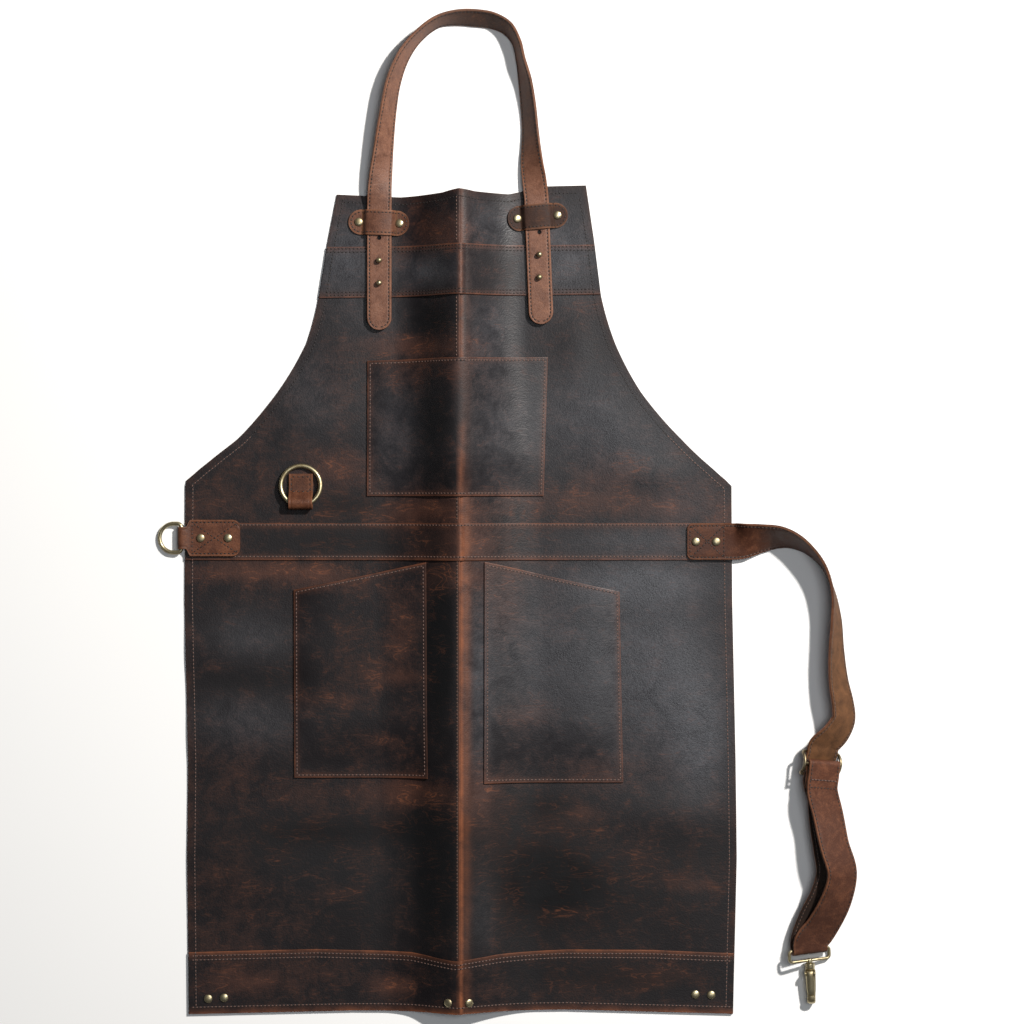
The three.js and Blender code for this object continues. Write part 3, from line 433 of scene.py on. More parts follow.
CLOUD, given, asked = new_group(
    "wax_cloud", (("Vector", "NodeSocketVector"), ("Size", "NodeSocketFloat")),
    ("Cloud", "Fine", "Scuff", "Crease"),
)
broad = put(CLOUD, "ShaderNodeTexNoise", None,
            {"Vector": given["Vector"], "Scale": given["Size"], "Detail": 5.0, "Roughness": 0.6,
             "Distortion": 0.7})
fine_size = maths(CLOUD, "MULTIPLY", given["Size"], 5.5)
fine = put(CLOUD, "ShaderNodeTexNoise", None,
           {"Vector": given["Vector"], "Scale": fine_size, "Detail": 6.0, "Roughness": 0.65,
            "Distortion": 0.4})
stretched = put(CLOUD, "ShaderNodeMapping", None,
                {"Vector": given["Vector"], "Rotation": (0, 0, 0.35), "Scale": (5.0, 26.0, 5.0)})
hairs = put(CLOUD, "ShaderNodeTexNoise", None,
            {"Vector": stretched.outputs[0], "Scale": given["Size"], "Detail": 5.0, "Distortion": 3.0})
CLOUD.links.new(remap(CLOUD, broad.outputs["Fac"], 0.34, 0.68), asked["Cloud"])
CLOUD.links.new(remap(CLOUD, fine.outputs["Fac"], 0.32, 0.7), asked["Fine"])
scuffed = remap(CLOUD, hairs.outputs["Fac"], 0.56, 0.72)
scuffed = maths(CLOUD, "MULTIPLY", scuffed, remap(CLOUD, fine.outputs["Fac"], 0.5, 0.7))
CLOUD.links.new(scuffed, asked["Scuff"])
drawn_out = put(CLOUD, "ShaderNodeMapping", None,
                {"Vector": given["Vector"], "Rotation": (0, 0, -0.2), "Scale": (2.2, 9.0, 4.0)})
ripples = put(CLOUD, "ShaderNodeTexNoise", None,
              {"Vector": drawn_out.outputs[0], "Scale": given["Size"], "Detail": 3.0, "Distortion": 1.2})
off_middle = maths(CLOUD, "ABSOLUTE", maths(CLOUD, "SUBTRACT", ripples.outputs["Fac"], 0.5))
thin = remap(CLOUD, off_middle, 0.0, 0.02, 1.0, 0.0)
creased = maths(CLOUD, "MULTIPLY", thin, remap(CLOUD, fine.outputs["Fac"], 0.4, 0.62))
CLOUD.links.new(creased, asked["Crease"])
print("groups:", GRAIN.name, CLOUD.name)

# %% [markdown]
# ## The body leather
# Charcoal brown where the wax lies thick, red-brown where it was pulled, then a grey that is painted sheen
# over the wax's own bloom, a near-black that is painted shade, and orange where it is rubbed through. The
# colours are mixed in that order, masks first and rub last, as the wear happens on a real hide. The flesh
# side underneath is plain brown suede, told apart by a stored value, and painted shade darkens it too.
# Roughness drops where the wax has bloomed, so those places mirror the softbox, and rises under the painted
# shade.

# %% Body leather
# The near-black that painted shade mixes in.
SHADE_BLACK = (0.001, 0.0012, 0.002, 1)


def leather_material(name, dark, brown, grey, orange, flesh, cloud_size, grain_size, rough, shine, relief):
    material, tree, shader, place = new_material(name)
    cloud = use_group(tree, CLOUD, {"Vector": place, "Size": cloud_size})
    grain = use_group(tree, GRAIN, {"Vector": place, "Size": grain_size})
    warm, bloom, soot = (attribute(tree, key) for key in ("warm", "bloom", "soot"))
    rub, under = attribute(tree, "rub"), attribute(tree, "under")
    clouded = maths(tree, "MULTIPLY_ADD", cloud["Cloud"], 0.32, -0.19)
    speckled = maths(tree, "MULTIPLY_ADD", cloud["Fine"], 0.5, -0.24)
    pored = maths(tree, "MULTIPLY_ADD", grain["Height"], 0.36, -0.33)
    mottled = maths(tree, "ADD", maths(tree, "ADD", clouded, speckled), pored)
    pulled = maths(tree, "ADD", warm, mottled, clamp=True)
    colour = blend_colours(tree, pulled, dark, brown)
    # Grey painted sheen over the wax's own bloom, mixed in by the grey map.
    patchy = maths(tree, "MULTIPLY", bloom, remap(tree, cloud["Fine"], 0.0, 1.0, 0.45, 1.0))
    hazed = maths(tree, "MULTIPLY", patchy, remap(tree, grain["Height"], 0.6, 1.25, 0.72, 1.2), clamp=True)
    colour = blend_colours(tree, hazed, colour, grey)
    # Near-black painted shade.
    colour = blend_colours(tree, maths(tree, "MULTIPLY", soot, 0.9), colour, SHADE_BLACK)
    rubbed = maths(tree, "MULTIPLY", rub, remap(tree, cloud["Fine"], 0.0, 1.0, 0.35, 1.25), clamp=True)
    scratched = maths(tree, "MULTIPLY", cloud["Scuff"], remap(tree, warm, 0.0, 1.0, 0.22, 0.9))
    lined = maths(tree, "MULTIPLY", cloud["Crease"], remap(tree, warm, 0.0, 0.6, 0.08, 0.5))
    lighter = maths(tree, "MAXIMUM", rubbed, maths(tree, "MAXIMUM", scratched, lined))
    colour = blend_colours(tree, lighter, colour, orange)
    back = blend_colours(tree, cloud["Fine"], darker(flesh, 0.45), flesh)
    # Painted shade on the flesh side as well.
    back = blend_colours(tree, maths(tree, "MULTIPLY", soot, 0.9), back, SHADE_BLACK)
    colour = blend_colours(tree, under, colour, back)
    tree.links.new(colour, shader.inputs["Base Color"])
    shader.inputs["Specular IOR Level"].default_value = shine
    waxed = remap(tree, cloud["Fine"], 0.0, 1.0, rough - 0.06, rough + 0.12)
    dulled = maths(tree, "MULTIPLY_ADD", soot, 0.3, waxed)
    polished = maths(tree, "MULTIPLY_ADD", bloom, -0.2, dulled)
    matt = maths(tree, "MAXIMUM", polished, maths(tree, "MULTIPLY", under, 0.85))
    tree.links.new(matt, shader.inputs["Roughness"])
    pebbled = maths(tree, "MULTIPLY_ADD", cloud["Fine"], 0.5, grain["Height"])
    height = maths(tree, "MULTIPLY_ADD", cloud["Crease"], -0.7, pebbled)
    bump = put(tree, "ShaderNodeBump", None, {"Strength": relief, "Distance": 0.0005, "Height": height})
    tree.links.new(bump.outputs[0], shader.inputs["Normal"])
    return material


BODY_LEATHER = leather_material(
    "waxed_body_leather",
    dark=(0.0076, 0.0057, 0.0066, 1), brown=(0.056, 0.0228, 0.0152, 1), grey=(0.055, 0.0562, 0.0632, 1),
    orange=(0.21, 0.07, 0.03, 1), flesh=(0.09, 0.055, 0.038, 1), cloud_size=9.0, grain_size=620.0,
    rough=0.5, shine=0.24, relief=0.22,
)
print("finish:", BODY_LEATHER.name)

# %% [markdown]
# ## Sheets of leather
# A panel could start as a plane that is cut and bent by hand, but its drape follows a function, so mesh
# code suits it better: rows and columns of points laid on the drape, joined by quads. Solidify gives the
# sheet its real thickness and Bevel eases the cut edge. The rows crowd together near an edge, where the
# wear is.

# %% Sheet helpers
EDGE_STEPS = (0, 0.8, 2, 4, 7, 11)
EDGE_EASE = 0.35
SOFT_RUB, SOFT_REACH = 0.42, 4.5


def crowded(low, high, spacing):
    """Numbers from low to high, close together near both ends."""
    inner = np.arange(EDGE_STEPS[-1] + spacing, high - low - EDGE_STEPS[-1] - spacing / 2, spacing)
    return np.concatenate([low + np.array(EDGE_STEPS), low + inner, high - np.array(EDGE_STEPS[::-1])])


def quads(rows, columns):
    index = np.arange(rows * columns).reshape(rows, columns)
    return np.stack([index[:-1, :-1], index[:-1, 1:], index[1:, 1:], index[1:, :-1]], axis=-1).reshape(-1, 4)


def new_piece(name, points, faces, material):
    mesh = bpy.data.meshes.new(name)
    mesh.from_pydata(to_part(points).tolist(), [], faces)
    mesh.materials.append(material)
    piece = bpy.data.objects.new(name, mesh)
    scene.collection.objects.link(piece)
    return piece


def pick(piece):
    """Select one piece alone and make it the active one."""
    bpy.ops.object.select_all(action="DESELECT")
    piece.select_set(True)
    bpy.context.view_layer.objects.active = piece


def apply_all(piece, angle=40):
    """Apply every modifier, then smooth the shading across edges flatter than the angle."""
    pick(piece)
    for modifier in list(piece.modifiers):
        bpy.ops.object.modifier_apply(modifier=modifier.name)
    bpy.ops.object.shade_smooth_by_angle(angle=math.radians(angle))
    piece.select_set(False)


def leather_sheet(name, points, wall, material):
    """A sheet through a grid of points on its upper face."""
    piece = new_piece(name, points.reshape(-1, 3), quads(*points.shape[:2]).tolist(), material)
    thick = piece.modifiers.new("wall", "SOLIDIFY")
    thick.thickness = wall * MM
    thick.offset = -1
    ease = piece.modifiers.new("eased_edge", "BEVEL")
    ease.width = EDGE_EASE * MM
    ease.segments = 2
    ease.limit_method = "ANGLE"
    ease.angle_limit = math.radians(60)
    apply_all(piece)
    return piece


def under_side(piece):
    """One where the face looks down, on the flesh side."""
    flat = np.empty(len(piece.data.vertices) * 3)
    piece.data.vertices.foreach_get("normal", flat)
    return (flat.reshape(-1, 3)[:, 2] < -0.6).astype(float)


def dress(piece, node, body):
    """The piece stands for a CAD node and moves with its body."""
    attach(piece, body)
    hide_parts(node)


def front_wear_sheen_shade(piece, edge, rub_edge, rub_reach):
    """Stored values of a piece on the apron's front: wear, painted sheen and painted shade from the maps, and
    rub from the nearest cut edge and the fold's top.
    """
    x, y, _ = places(piece).T
    inside = np.maximum(edge, 0)
    sharp = rub_edge * np.exp(-inside / rub_reach)
    soft = SOFT_RUB * rub_edge * np.exp(-((inside / SOFT_REACH) ** 2))
    rub = np.maximum(np.maximum(sharp, soft), crest_rub(x, y))
    keep_values(piece, warm=patches(WARM, x, y), bloom=patches(BLOOM_AND_SHEEN, x, y), soot=patches(PAINTED_SHADE_PATCHES, x, y),
                rub=np.clip(rub, 0, 1), under=under_side(piece))


# %% [markdown]
# ## The two panels
# Each half of the body is one hide, cut along the outline and lapped at the seam, left over right. The
# columns run from the cut edge to the seam: crowded at the edge, even across the flat, close on the fold.

# %% Body panels
ROW_STEP = 4.5
SHOULDER_ROWS = (SHOULDER_Y, 553)
COLUMN_COUNT = 42
FLAT_TO = 92
FOLD_STEP = 2.5
HEM_FADE, TOP_FADE_Y = 30, 798
PANELS = {  # side, flat size in metres, flat area in square metres
    "body_left": (-1, (0.296, 0.855), 0.213),
    "body_right": (1, (0.312, 0.862), 0.228),
}


def panel_points(side):
    rows = crowded(0, BIB_TOP_Y, ROW_STEP)
    for corner in SHOULDER_ROWS:
        rows = np.sort(np.append(rows[np.abs(rows - corner) > 1.5], corner))
    if side < 0:
        on_lap = (-LAP_TO, -LAP_FROM, 1, FLAT_TO)
        inner = np.unique(np.concatenate([np.arange(0, FLAT_TO, FOLD_STEP), on_lap]))
    else:
        inner = np.append(np.arange(LAP_UNDER, FLAT_TO, FOLD_STEP), FLAT_TO)
    grid = []
    for row in rows:
        half = float(half_width(row, side))
        edge = half - np.array(EDGE_STEPS)
        flat = np.linspace(edge[-1], inner[-1], COLUMN_COUNT)[1:-1]
        x = np.concatenate([edge, flat, inner[::-1]])
        x = side * (x if side < 0 else x[::-1])
        hem = np.interp(x, HEM_X, HEM_AT) * max(0, 1 - row / HEM_FADE)
        near_top = max(0, (row - TOP_FADE_Y) / (BIB_TOP_Y - TOP_FADE_Y))
        top = (np.interp(x, TOP_X, TOP_AT) - BIB_TOP_Y) * near_top
        y = row + hem + top
        low = lap_step(x) if side < 0 else np.zeros_like(x)
        grid.append(on_apron(x, y, low + BODY_WALL))
    return np.array(grid)


def panel_edge(x, y, side):
    """Distance to the nearest cut edge of a panel."""
    slant = np.where((y > SHOULDER_Y) & (y < BIB_FOOT_Y), 0.8, 1.0)
    outer = (half_width(y, side) - np.abs(x)) * slant
    ends = np.minimum(y - np.interp(x, HEM_X, HEM_AT), np.interp(x, TOP_X, TOP_AT) - y)
    return np.minimum(outer, ends)


for name, (side, flat, area) in PANELS.items():
    panel = leather_sheet(name + "_leather", panel_points(side), BODY_WALL, BODY_LEATHER)
    x, y, _ = places(panel).T
    front_wear_sheen_shade(panel, panel_edge(x, y, side), rub_edge=0.14, rub_reach=1.2)
    dress(panel, name, "apron")
    print(panel.name, len(panel.data.polygons), "faces")

# %% [markdown]
# ## The bands
# Three bands cross the front over the seam, at the chest, the waist and the hem, and keep the body in
# shape. A band could be a strip of the panel's own faces pulled up, but its edges don't follow the
# panel's rows. So it is a sheet of its own on the same drape, higher by the layers below it.

# %% Bands
BANDS = {  # lower edge and upper edge, each at the left and the right end
    "chest_band": ((740.5, 748), (794, 799)),
    "waist_band": ((470, 470), (508.5, 508.5)),
    "hem_band": (None, (61, 61)),
}
HEM_TOP_X, HEM_TOP_AT = (-284, -150, -50, -4, 40, 110, 200, 284), (1.5, 5, 2.5, -3.5, 1, 4.5, 4, 0.5)
BAND_INSET = 0.4
BAND_STEP, BAND_ROW_STEP = 3.0, 4.0
BAND_COLUMNS = 230
BAND_FLAT = {"chest_band": (0.3, 0.054), "waist_band": (0.578, 0.0385), "hem_band": (0.574, 0.063)}
BAND_RUB = {"chest_band": 0.55, "waist_band": 0.55, "hem_band": 0.95}


def band_edges(name, x):
    side = (x + HALF_WIDTH) / (2 * HALF_WIDTH)
    lower, upper = BANDS[name]
    top = upper[0] + (upper[1] - upper[0]) * side
    if lower is None:
        return np.interp(x, HEM_X, HEM_AT) + 0.3, top + np.interp(x, HEM_TOP_X, HEM_TOP_AT)
    return lower[0] + (lower[1] - lower[0]) * side, top


def band_points(name):
    middle_low, middle_high = (float(edge) for edge in band_edges(name, np.array(0.0)))
    parts = (crowded(middle_low, middle_high, BAND_ROW_STEP) - middle_low) / (middle_high - middle_low)
    grid = []
    for part in parts:
        y = middle_low + part * (middle_high - middle_low)
        left, right = -float(half_width(y, -1)) + BAND_INSET, float(half_width(y, 1)) - BAND_INSET
        steps = (LAP_FROM, LAP_TO, STEP_FROM, STEP_TO)
        x = np.unique(np.concatenate([crowded(left, right, BAND_STEP), steps]))
        x = np.interp(np.linspace(0, 1, BAND_COLUMNS), np.linspace(0, 1, len(x)), x)
        low, high = band_edges(name, x)
        grid.append(on_apron(x, low + (high - low) * part, trim_base(x) + TRIM_WALL))
    return np.array(grid)


for name, flat in BAND_FLAT.items():
    strip = leather_sheet(name + "_leather", band_points(name), TRIM_WALL, BODY_LEATHER)
    x, y, _ = places(strip).T
    low, high = band_edges(name, x)
    front_wear_sheen_shade(strip, np.minimum(y - low, high - y), rub_edge=BAND_RUB[name], rub_reach=1.3)
    dress(strip, name, "apron")
    print(strip.name, len(strip.data.polygons), "faces")

# %% [markdown]
# ## The pockets
# A patch pocket is sewn down at its foot and sides and stands a little open at its mouth. Pushing out a
# plane by hand would do for a loose one, but here the slanted mouth and the rows of stitches ask for exact
# places. So one function says where each point of a pocket lies: its belly swells from the sewn edges.

# %% Pockets
POCKET_SEAT = 0.2
POCKET_CLIMB = 0.32
POCKETS = {  # sides at the foot, sides at the mouth, foot height, mouth height at both sides, belly
    "chest_pocket": ((-97.2, 86.5), (-97, 91), 536.5, (677, 681), 5.0),
    "left_pocket": ((-172.7, -31.8), (-173.4, -33), 244, (439, 468), 6.2),
    "right_pocket": ((23, 169.2), (23.2, 165.4), 239, (468.5, 437.2), 6.2),
}
POCKET_STEP = 3.2
POCKET_FLAT = {"chest_pocket": (0.198, 0.144), "left_pocket": (0.145, 0.212), "right_pocket": (0.15, 0.216)}


def pocket_point(name, side, part):
    """Place and height on a pocket's upper face; side and part run from 0 to 1, across and up."""
    foot_sides, mouth_sides, foot, mouth, belly = POCKETS[name]
    left = foot_sides[0] + (mouth_sides[0] - foot_sides[0]) * part
    right = foot_sides[1] + (mouth_sides[1] - foot_sides[1]) * part
    x = left + (right - left) * side
    y = foot + (mouth[0] + (mouth[1] - mouth[0]) * side - foot) * part
    climb = np.clip(part / POCKET_CLIMB, 0, 1)
    swell = belly * (1 - (2 * side - 1) ** 4) * climb**2 * (3 - 2 * climb)
    return x, y, trim_base(x) + POCKET_SEAT + swell + TRIM_WALL


def pocket_points(name):
    foot_sides, _, foot, mouth, _ = POCKETS[name]
    wide, tall = foot_sides[1] - foot_sides[0], sum(mouth) / 2 - foot
    sides = crowded(0, wide, POCKET_STEP) / wide
    parts = crowded(0, tall, POCKET_STEP) / tall
    side, part = np.meshgrid(sides, parts)
    return on_apron(*pocket_point(name, side, part))


def pocket_edge(name, x, y):
    foot_sides, mouth_sides, foot, mouth, _ = POCKETS[name]
    top = np.interp(x, foot_sides, mouth)
    part = np.clip((y - foot) / (top - foot), 0, 1)
    left = foot_sides[0] + (mouth_sides[0] - foot_sides[0]) * part
    right = foot_sides[1] + (mouth_sides[1] - foot_sides[1]) * part
    return np.minimum.reduce([x - left, right - x, y - foot, top - y])


for name, flat in POCKET_FLAT.items():
    patch = leather_sheet(name + "_leather", pocket_points(name), TRIM_WALL, BODY_LEATHER)
    x, y, _ = places(patch).T
    front_wear_sheen_shade(patch, pocket_edge(name, x, y), rub_edge=0.5, rub_reach=1.2)
    dress(patch, name, "apron")
    print(patch.name, len(patch.data.polygons), "faces")

# %% [markdown]
# ## The strap leather
# The straps, tabs and keepers are cut from a redder hide and sewn of two layers. Their backs are a duller
# olive brown, which shows where the waist strap has turned over. The same tree is used with other colours.

# %% Strap leather
STRAP_LEATHER = leather_material(
    "waxed_strap_leather",
    dark=(0.06, 0.0205, 0.0105, 1), brown=(0.19, 0.069, 0.032, 1), grey=(0.21, 0.125, 0.095, 1),
    orange=(0.29, 0.12, 0.055, 1), flesh=(0.13, 0.056, 0.022, 1), cloud_size=17.0, grain_size=780.0,
    rough=0.52, shine=0.24, relief=0.3,
)
print("finish:", STRAP_LEATHER.name)

# %% [markdown]
# ## A strap as a swept section
# A strap is one flat section carried along a path, turned as the strap tips and twists. A curve object
# with a bevel could do it, but it can't twist by a table, so mesh code places the section at every
# station: a centre, a direction across and a width. The section has eased edges, a fine groove between its
# two layers and a shallow one under each row of stitches.

# %% Strap helpers
STRAP_WALL = 2.8
STRAP_RUB, STRAP_RUB_REACH = 0.35, 1.3
# The second number is painted shade laid in the grooves under the rows of stitches.
SEWN_GROOVE, GROOVE_SHADE = 0.2, 0.08


def unit(vectors):
    return vectors / np.linalg.norm(vectors, axis=-1, keepdims=True)


def smooth_run(points, steps):
    """Centripetal Catmull-Rom curve through the points, in steps pieces from each to the next."""
    points = np.asarray(points, float)
    padded = np.vstack([2 * points[0] - points[1], points, 2 * points[-1] - points[-2]])
    parts = np.arange(steps)[:, None] / steps
    made = []
    for a, b, c, d in zip(padded, padded[1:], padded[2:], padded[3:]):
        before, here, after = (max(np.linalg.norm(q - p) ** 0.5, 1e-4) for p, q in ((a, b), (b, c), (c, d)))
        leave = ((b - a) / before - (c - a) / (before + here) + (c - b) / here) * here
        reach = ((c - b) / here - (d - b) / (here + after) + (d - c) / after) * here
        made.append(b + leave * parts + (3 * (c - b) - 2 * leave - reach) * parts**2
                    + (2 * (b - c) + leave + reach) * parts**3)
    return np.vstack([*made, points[-1:]])


def tipped(rows, width):
    """Stations that stand on one edge: rows of place, heading, lift of that edge and tip from level."""
    x, y, heading, lift, tip = np.asarray(rows, float).T
    out, tilt = np.radians(heading + 90), np.radians(tip)
    sides = np.stack([np.cos(tilt) * np.cos(out), np.cos(tilt) * np.sin(out), np.sin(tilt)], axis=-1)
    z = lift + width / 2 * np.sin(tilt) + STRAP_WALL / 2 * np.abs(np.cos(tilt))
    return np.stack([x, y, z], axis=-1), sides


def rounded_end(tip, centre, side, width, corner):
    """Stations from a strap's tip round its corners and straight on, up to its first full station."""
    tip = np.asarray(tip, float)
    ahead = unit((centre - tip) * (1, 1, 0))
    angles = np.radians(np.linspace(6, 90, 10))
    curve = tip + corner * (1 - np.cos(angles))[:, None] * ahead
    count = max(int(np.linalg.norm(centre - curve[-1]) / 4), 2)
    straight = np.linspace(curve[-1], centre, count + 1)[1:-1]
    widths = np.append(width - 2 * corner * (1 - np.sin(angles)), np.full(len(straight), width))
    centres = np.vstack([curve, straight])
    return centres, np.tile(side, (len(centres), 1)), widths


def strap_axes(centres, sides):
    along = unit(np.gradient(centres, axis=0))
    across = unit(sides - along * np.sum(sides * along, axis=-1, keepdims=True))
    return along, across, np.cross(along, across)


def strap_section(wall):
    """Section points as a share of the half width, a reach in from the edge, and a height."""
    t = wall / 2
    edge = [(1, 0.8 * t, t), (1, 0.3 * t, 0.92 * t), (1, 0.06 * t, 0.65 * t)]
    edge += [(1, 0, 0.3 * t), (1, 0.25 * t, 0)]
    side = edge + [(share, inset, -height) for share, inset, height in reversed(edge[:-1])]
    inner = [(1, 1.7, t), (1, 2.3, t - SEWN_GROOVE), (1, 3.1, t - SEWN_GROOVE), (1, 3.7, t)]
    inner += [(share, 0, t) for share in (0.6, 0.4, 0.15)]
    upper = inner[::-1] + side + [(share, inset, -height) for share, inset, height in inner]
    return np.array(upper + [(-share, -inset, height) for share, inset, height in reversed(upper)])


def open_edit(piece):
    pick(piece)
    bpy.ops.object.mode_set(mode="EDIT")
    bpy.ops.mesh.select_all(action="SELECT")


def swept_strap(name, centres, sides, widths, wall, warmth=0.25, soot=0.0, back_soot=0.0, bloom=0.0):
    """A strap through its stations; soot paints shade on the upper face, back_soot on the flesh side."""
    share, inset, height = strap_section(wall).T
    _, across, face = strap_axes(centres, sides)
    half = widths[:, None] / 2
    reach = half * share - inset * np.minimum(1, half / 10)
    points = centres[:, None] + across[:, None] * reach[..., None] + face[:, None] * height[:, None]
    count, ring = reach.shape
    around = np.arange(ring)
    faces = []
    for i in range(count - 1):
        a, b = i * ring + around, i * ring + np.roll(around, -1)
        faces += np.stack([a, b, b + ring, a + ring], axis=-1).tolist()
    faces += [around[::-1].tolist(), ((count - 1) * ring + around).tolist()]
    piece = new_piece(name, points.reshape(-1, 3), faces, STRAP_LEATHER)
    from_edge = half - np.abs(reach)
    rub = STRAP_RUB * np.exp(-from_edge / STRAP_RUB_REACH) * (height > 0)
    # Painted shade for each face, and more painted shade in the grooves under the rows of stitches.
    groove = GROOVE_SHADE * np.isclose(np.abs(height), wall / 2 - SEWN_GROOVE)
    dark = np.where(height > 0, np.reshape(soot, (-1, 1)), np.reshape(back_soot, (-1, 1))) + groove
    zero = np.zeros(count * ring)
    keep_values(piece, warm=zero + warmth, bloom=zero + bloom,
                soot=np.broadcast_to(dark, (count, ring)).ravel(), rub=rub.ravel(),
                under=np.tile((height < -0.4 * wall).astype(float), count))
    open_edit(piece)
    bpy.ops.mesh.normals_make_consistent(inside=False)
    bpy.ops.object.mode_set(mode="OBJECT")
    apply_all(piece, 35)
    return piece


def cut_away(piece, cutter, angle):
    """Take the cutter's shape out of a piece, and the cutter out of the scene."""
    hole = piece.modifiers.new("hole", "BOOLEAN")
    hole.object = cutter
    hole.solver = "EXACT"
    apply_all(piece, angle)
    bpy.data.objects.remove(cutter)


def off_leather(x, y):
    """The turn that points +Z straight off the leather."""
    return Vector(up_at(np.float64(x), np.float64(y))).to_track_quat("Z", "Y")


def punch(piece, spots, radius):
    """Round holes through a strap that lies on the apron."""
    for x, y in spots:
        bpy.ops.mesh.primitive_cylinder_add(vertices=20, radius=radius * MM, depth=0.05)
        cutter = bpy.context.object
        cutter.location = to_part(on_apron(x, y, 5.0))
        cutter.rotation_euler = off_leather(x, y).to_euler()
        cut_away(piece, cutter, 35)


# %% [markdown]
# ## The neck strap
# One long strap stands on its edge round the neck and lies flat on the bib at both ends, where studs
# button it at the length that suits. Each row of the table gives a place, the lift of the lower edge and
# the tip.

# %% Neck strap
NECK_WIDTH = 25.4
BIB_LIFT = 5.2
NECK_ENDS = ((-84.3, 709), (84.1, 715))
NECK_HOLE = 2.1
NECK_HOLES = ((-84.3, 757.5), (-84.3, 781), (-84.3, 804.5), (82, 763.5), (82, 787), (82, 810.5))
NECK = np.array((
    (-84.2, 838, 5.2, 0), (-83.5, 858, 4.6, 17), (-80, 894, 1.5, 40), (-75, 935, 0.5, 53),
    (-69, 967, 0.5, 59), (-58.6, 993, 0.5, 66), (-44, 1012.5, 0.5, 72), (-23.5, 1028, 0.5, 72),
    (-4, 1032.3, 0.5, 63),
    (14.5, 1032, 0.5, 57), (33, 1029.3, 0.5, 59), (48.8, 1021.3, 0.5, 66), (58.3, 1006.8, 0.5, 74),
    (62.5, 989, 0.5, 73), (67, 967.5, 0.5, 62), (70.3, 943, 0.5, 56), (72.4, 919, 0.7, 53),
    (73.4, 899, 1.5, 43), (74.6, 880, 3, 27), (76.9, 863, 4.8, 10), (78.8, 846, 5.2, 0),
))


def neck_stations(inset=0.0):
    """The neck strap's stations, or those of a line set in from its edge all round."""
    padded = np.vstack([NECK[:1], NECK, NECK[-1:]])
    heading = np.degrees(np.arctan2(padded[2:, 1] - padded[:-2, 1], padded[2:, 0] - padded[:-2, 0]))
    centres, sides = tipped(np.column_stack([NECK[:, :2], heading, NECK[:, 2:]]), NECK_WIDTH)
    centres, sides = smooth_run(centres, 6), unit(smooth_run(sides, 6))
    width = NECK_WIDTH - 2 * inset
    ends = []
    for (x, y), place in zip(NECK_ENDS, (0, -1)):
        tip = (x, y + inset, BIB_LIFT + STRAP_WALL / 2)
        ends.append(rounded_end(tip, centres[place], sides[place], width, NECK_WIDTH / 2 - inset))
    runs = centres, sides, np.full(len(centres), width)
    return tuple(np.concatenate([first, run, last[::-1]]) for first, run, last in zip(ends[0], runs, ends[1]))


NECK_BLOOM = 0.35
# Painted shade over the top and down the right side of the neck strap's arch.
NECK_SHADE = ((490, 20, 56, 24, 0.62), (530, 95, 18, 70, 0.38))
stations = neck_stations()
shade = patches(NECK_SHADE, *stations[0][:, :2].T)
neck_strap = swept_strap("neck_strap_leather", *stations, STRAP_WALL, warmth=0.4, soot=shade,
                         bloom=NECK_BLOOM)
punch(neck_strap, NECK_HOLES, NECK_HOLE)
dress(neck_strap, "neck_strap", "apron")
print(neck_strap.name, len(neck_strap.data.polygons), "faces")

# %% [markdown]
# ## The waist strap
# It is sewn and riveted to the right edge, turns over once on its way down, runs under the slider's bar,
# round the hook's loop and back up to that bar, where its end is sewn between the layers. A bevelled curve
# can't hold all these turns, so the strap is swept too. Two leaning frames say how the slider and the hook
# lie, and the strap's rows near them are given in those frames.

# %% Waist strap
WAIST_WIDTH = 38
WAIST_LIFT = 4.2
WAIST_END, WAIST_CORNER = (235.5, 489.3), 6
SLIDER_WIRE, SLIDER_DROP, LOOP_WIRE = 1.6, 8, 1.6
BAR_CLEAR, LOOP_CLEAR = 0.4, 0.5
SEWN_TAIL = 26
WAIST_OUT = (
    (273, 489.3, 0, 4.2, 0), (286, 489.4, 1, 4.6, 5), (298, 490.8, 3, 2.8, 26), (313, 493, 0, 0.8, 42),
    (330, 494, -10, 0.5, 55), (344.5, 490.5, -26, 0.5, 67), (361, 480.5, -41, 0.5, 80),
    (376.5, 462.5, -56, 0.5, 90), (385.5, 437, -77, 0.5, 98), (388.8, 408, -87, 0.6, 110),
    (389, 376.5, -88, 0.7, 118), (391.3, 345, -84, 0.8, 125), (396, 320, -84, 0.9, 130),
    (396.5, 305, -104, 1.4, 134), (388, 290, -112, 4.6, 142),
)
WAIST_UNDER = (
    (375, 228, -90, 2, 151), (377, 200, -86, 0.9, 147), (381, 172, -82, 0.6, 146),
    (384, 148, -92, 0.6, 146), (378.5, 124, -106, 0.6, 149), (367.5, 99, -108, 0.8, 155),
)
WAIST_FRONT = (
    (372.5, 88, -114, 7.5, 157), (387.5, 117.5, -110, 13, 152), (394, 147, -88, 16, 147),
    (385.8, 177, -78, 15, 146), (379.8, 207.5, -83, 11.5, 149),
)


def leaning_frame(x, y, z, heading, lean, pitch=0.0):
    """Origin, u along the strap, v across it and n out of its upper face."""
    angle = math.radians(heading)
    u = Vector((math.cos(angle), math.sin(angle), -math.sin(math.radians(pitch)))).normalized()
    level = -Vector((0, 0, 1)).cross(u).normalized()
    v = Matrix.Rotation(-math.radians(lean), 3, u) @ level
    return tuple(np.array(part) for part in ((x, y, z), u, v, v.cross(u)))


SLIDER_FRAME = leaning_frame(375, 259, 18.8, -97, 29)
HOOK_FRAME = leaning_frame(361.5, 67, 11.3, -87, 18, 4.5)


def in_frame(frame, rows):
    origin, u, v, n = frame
    rows = np.asarray(rows, float)
    return origin + rows[:, :1] * u + rows[:, 1:] * n, np.tile(v, (len(rows), 1))


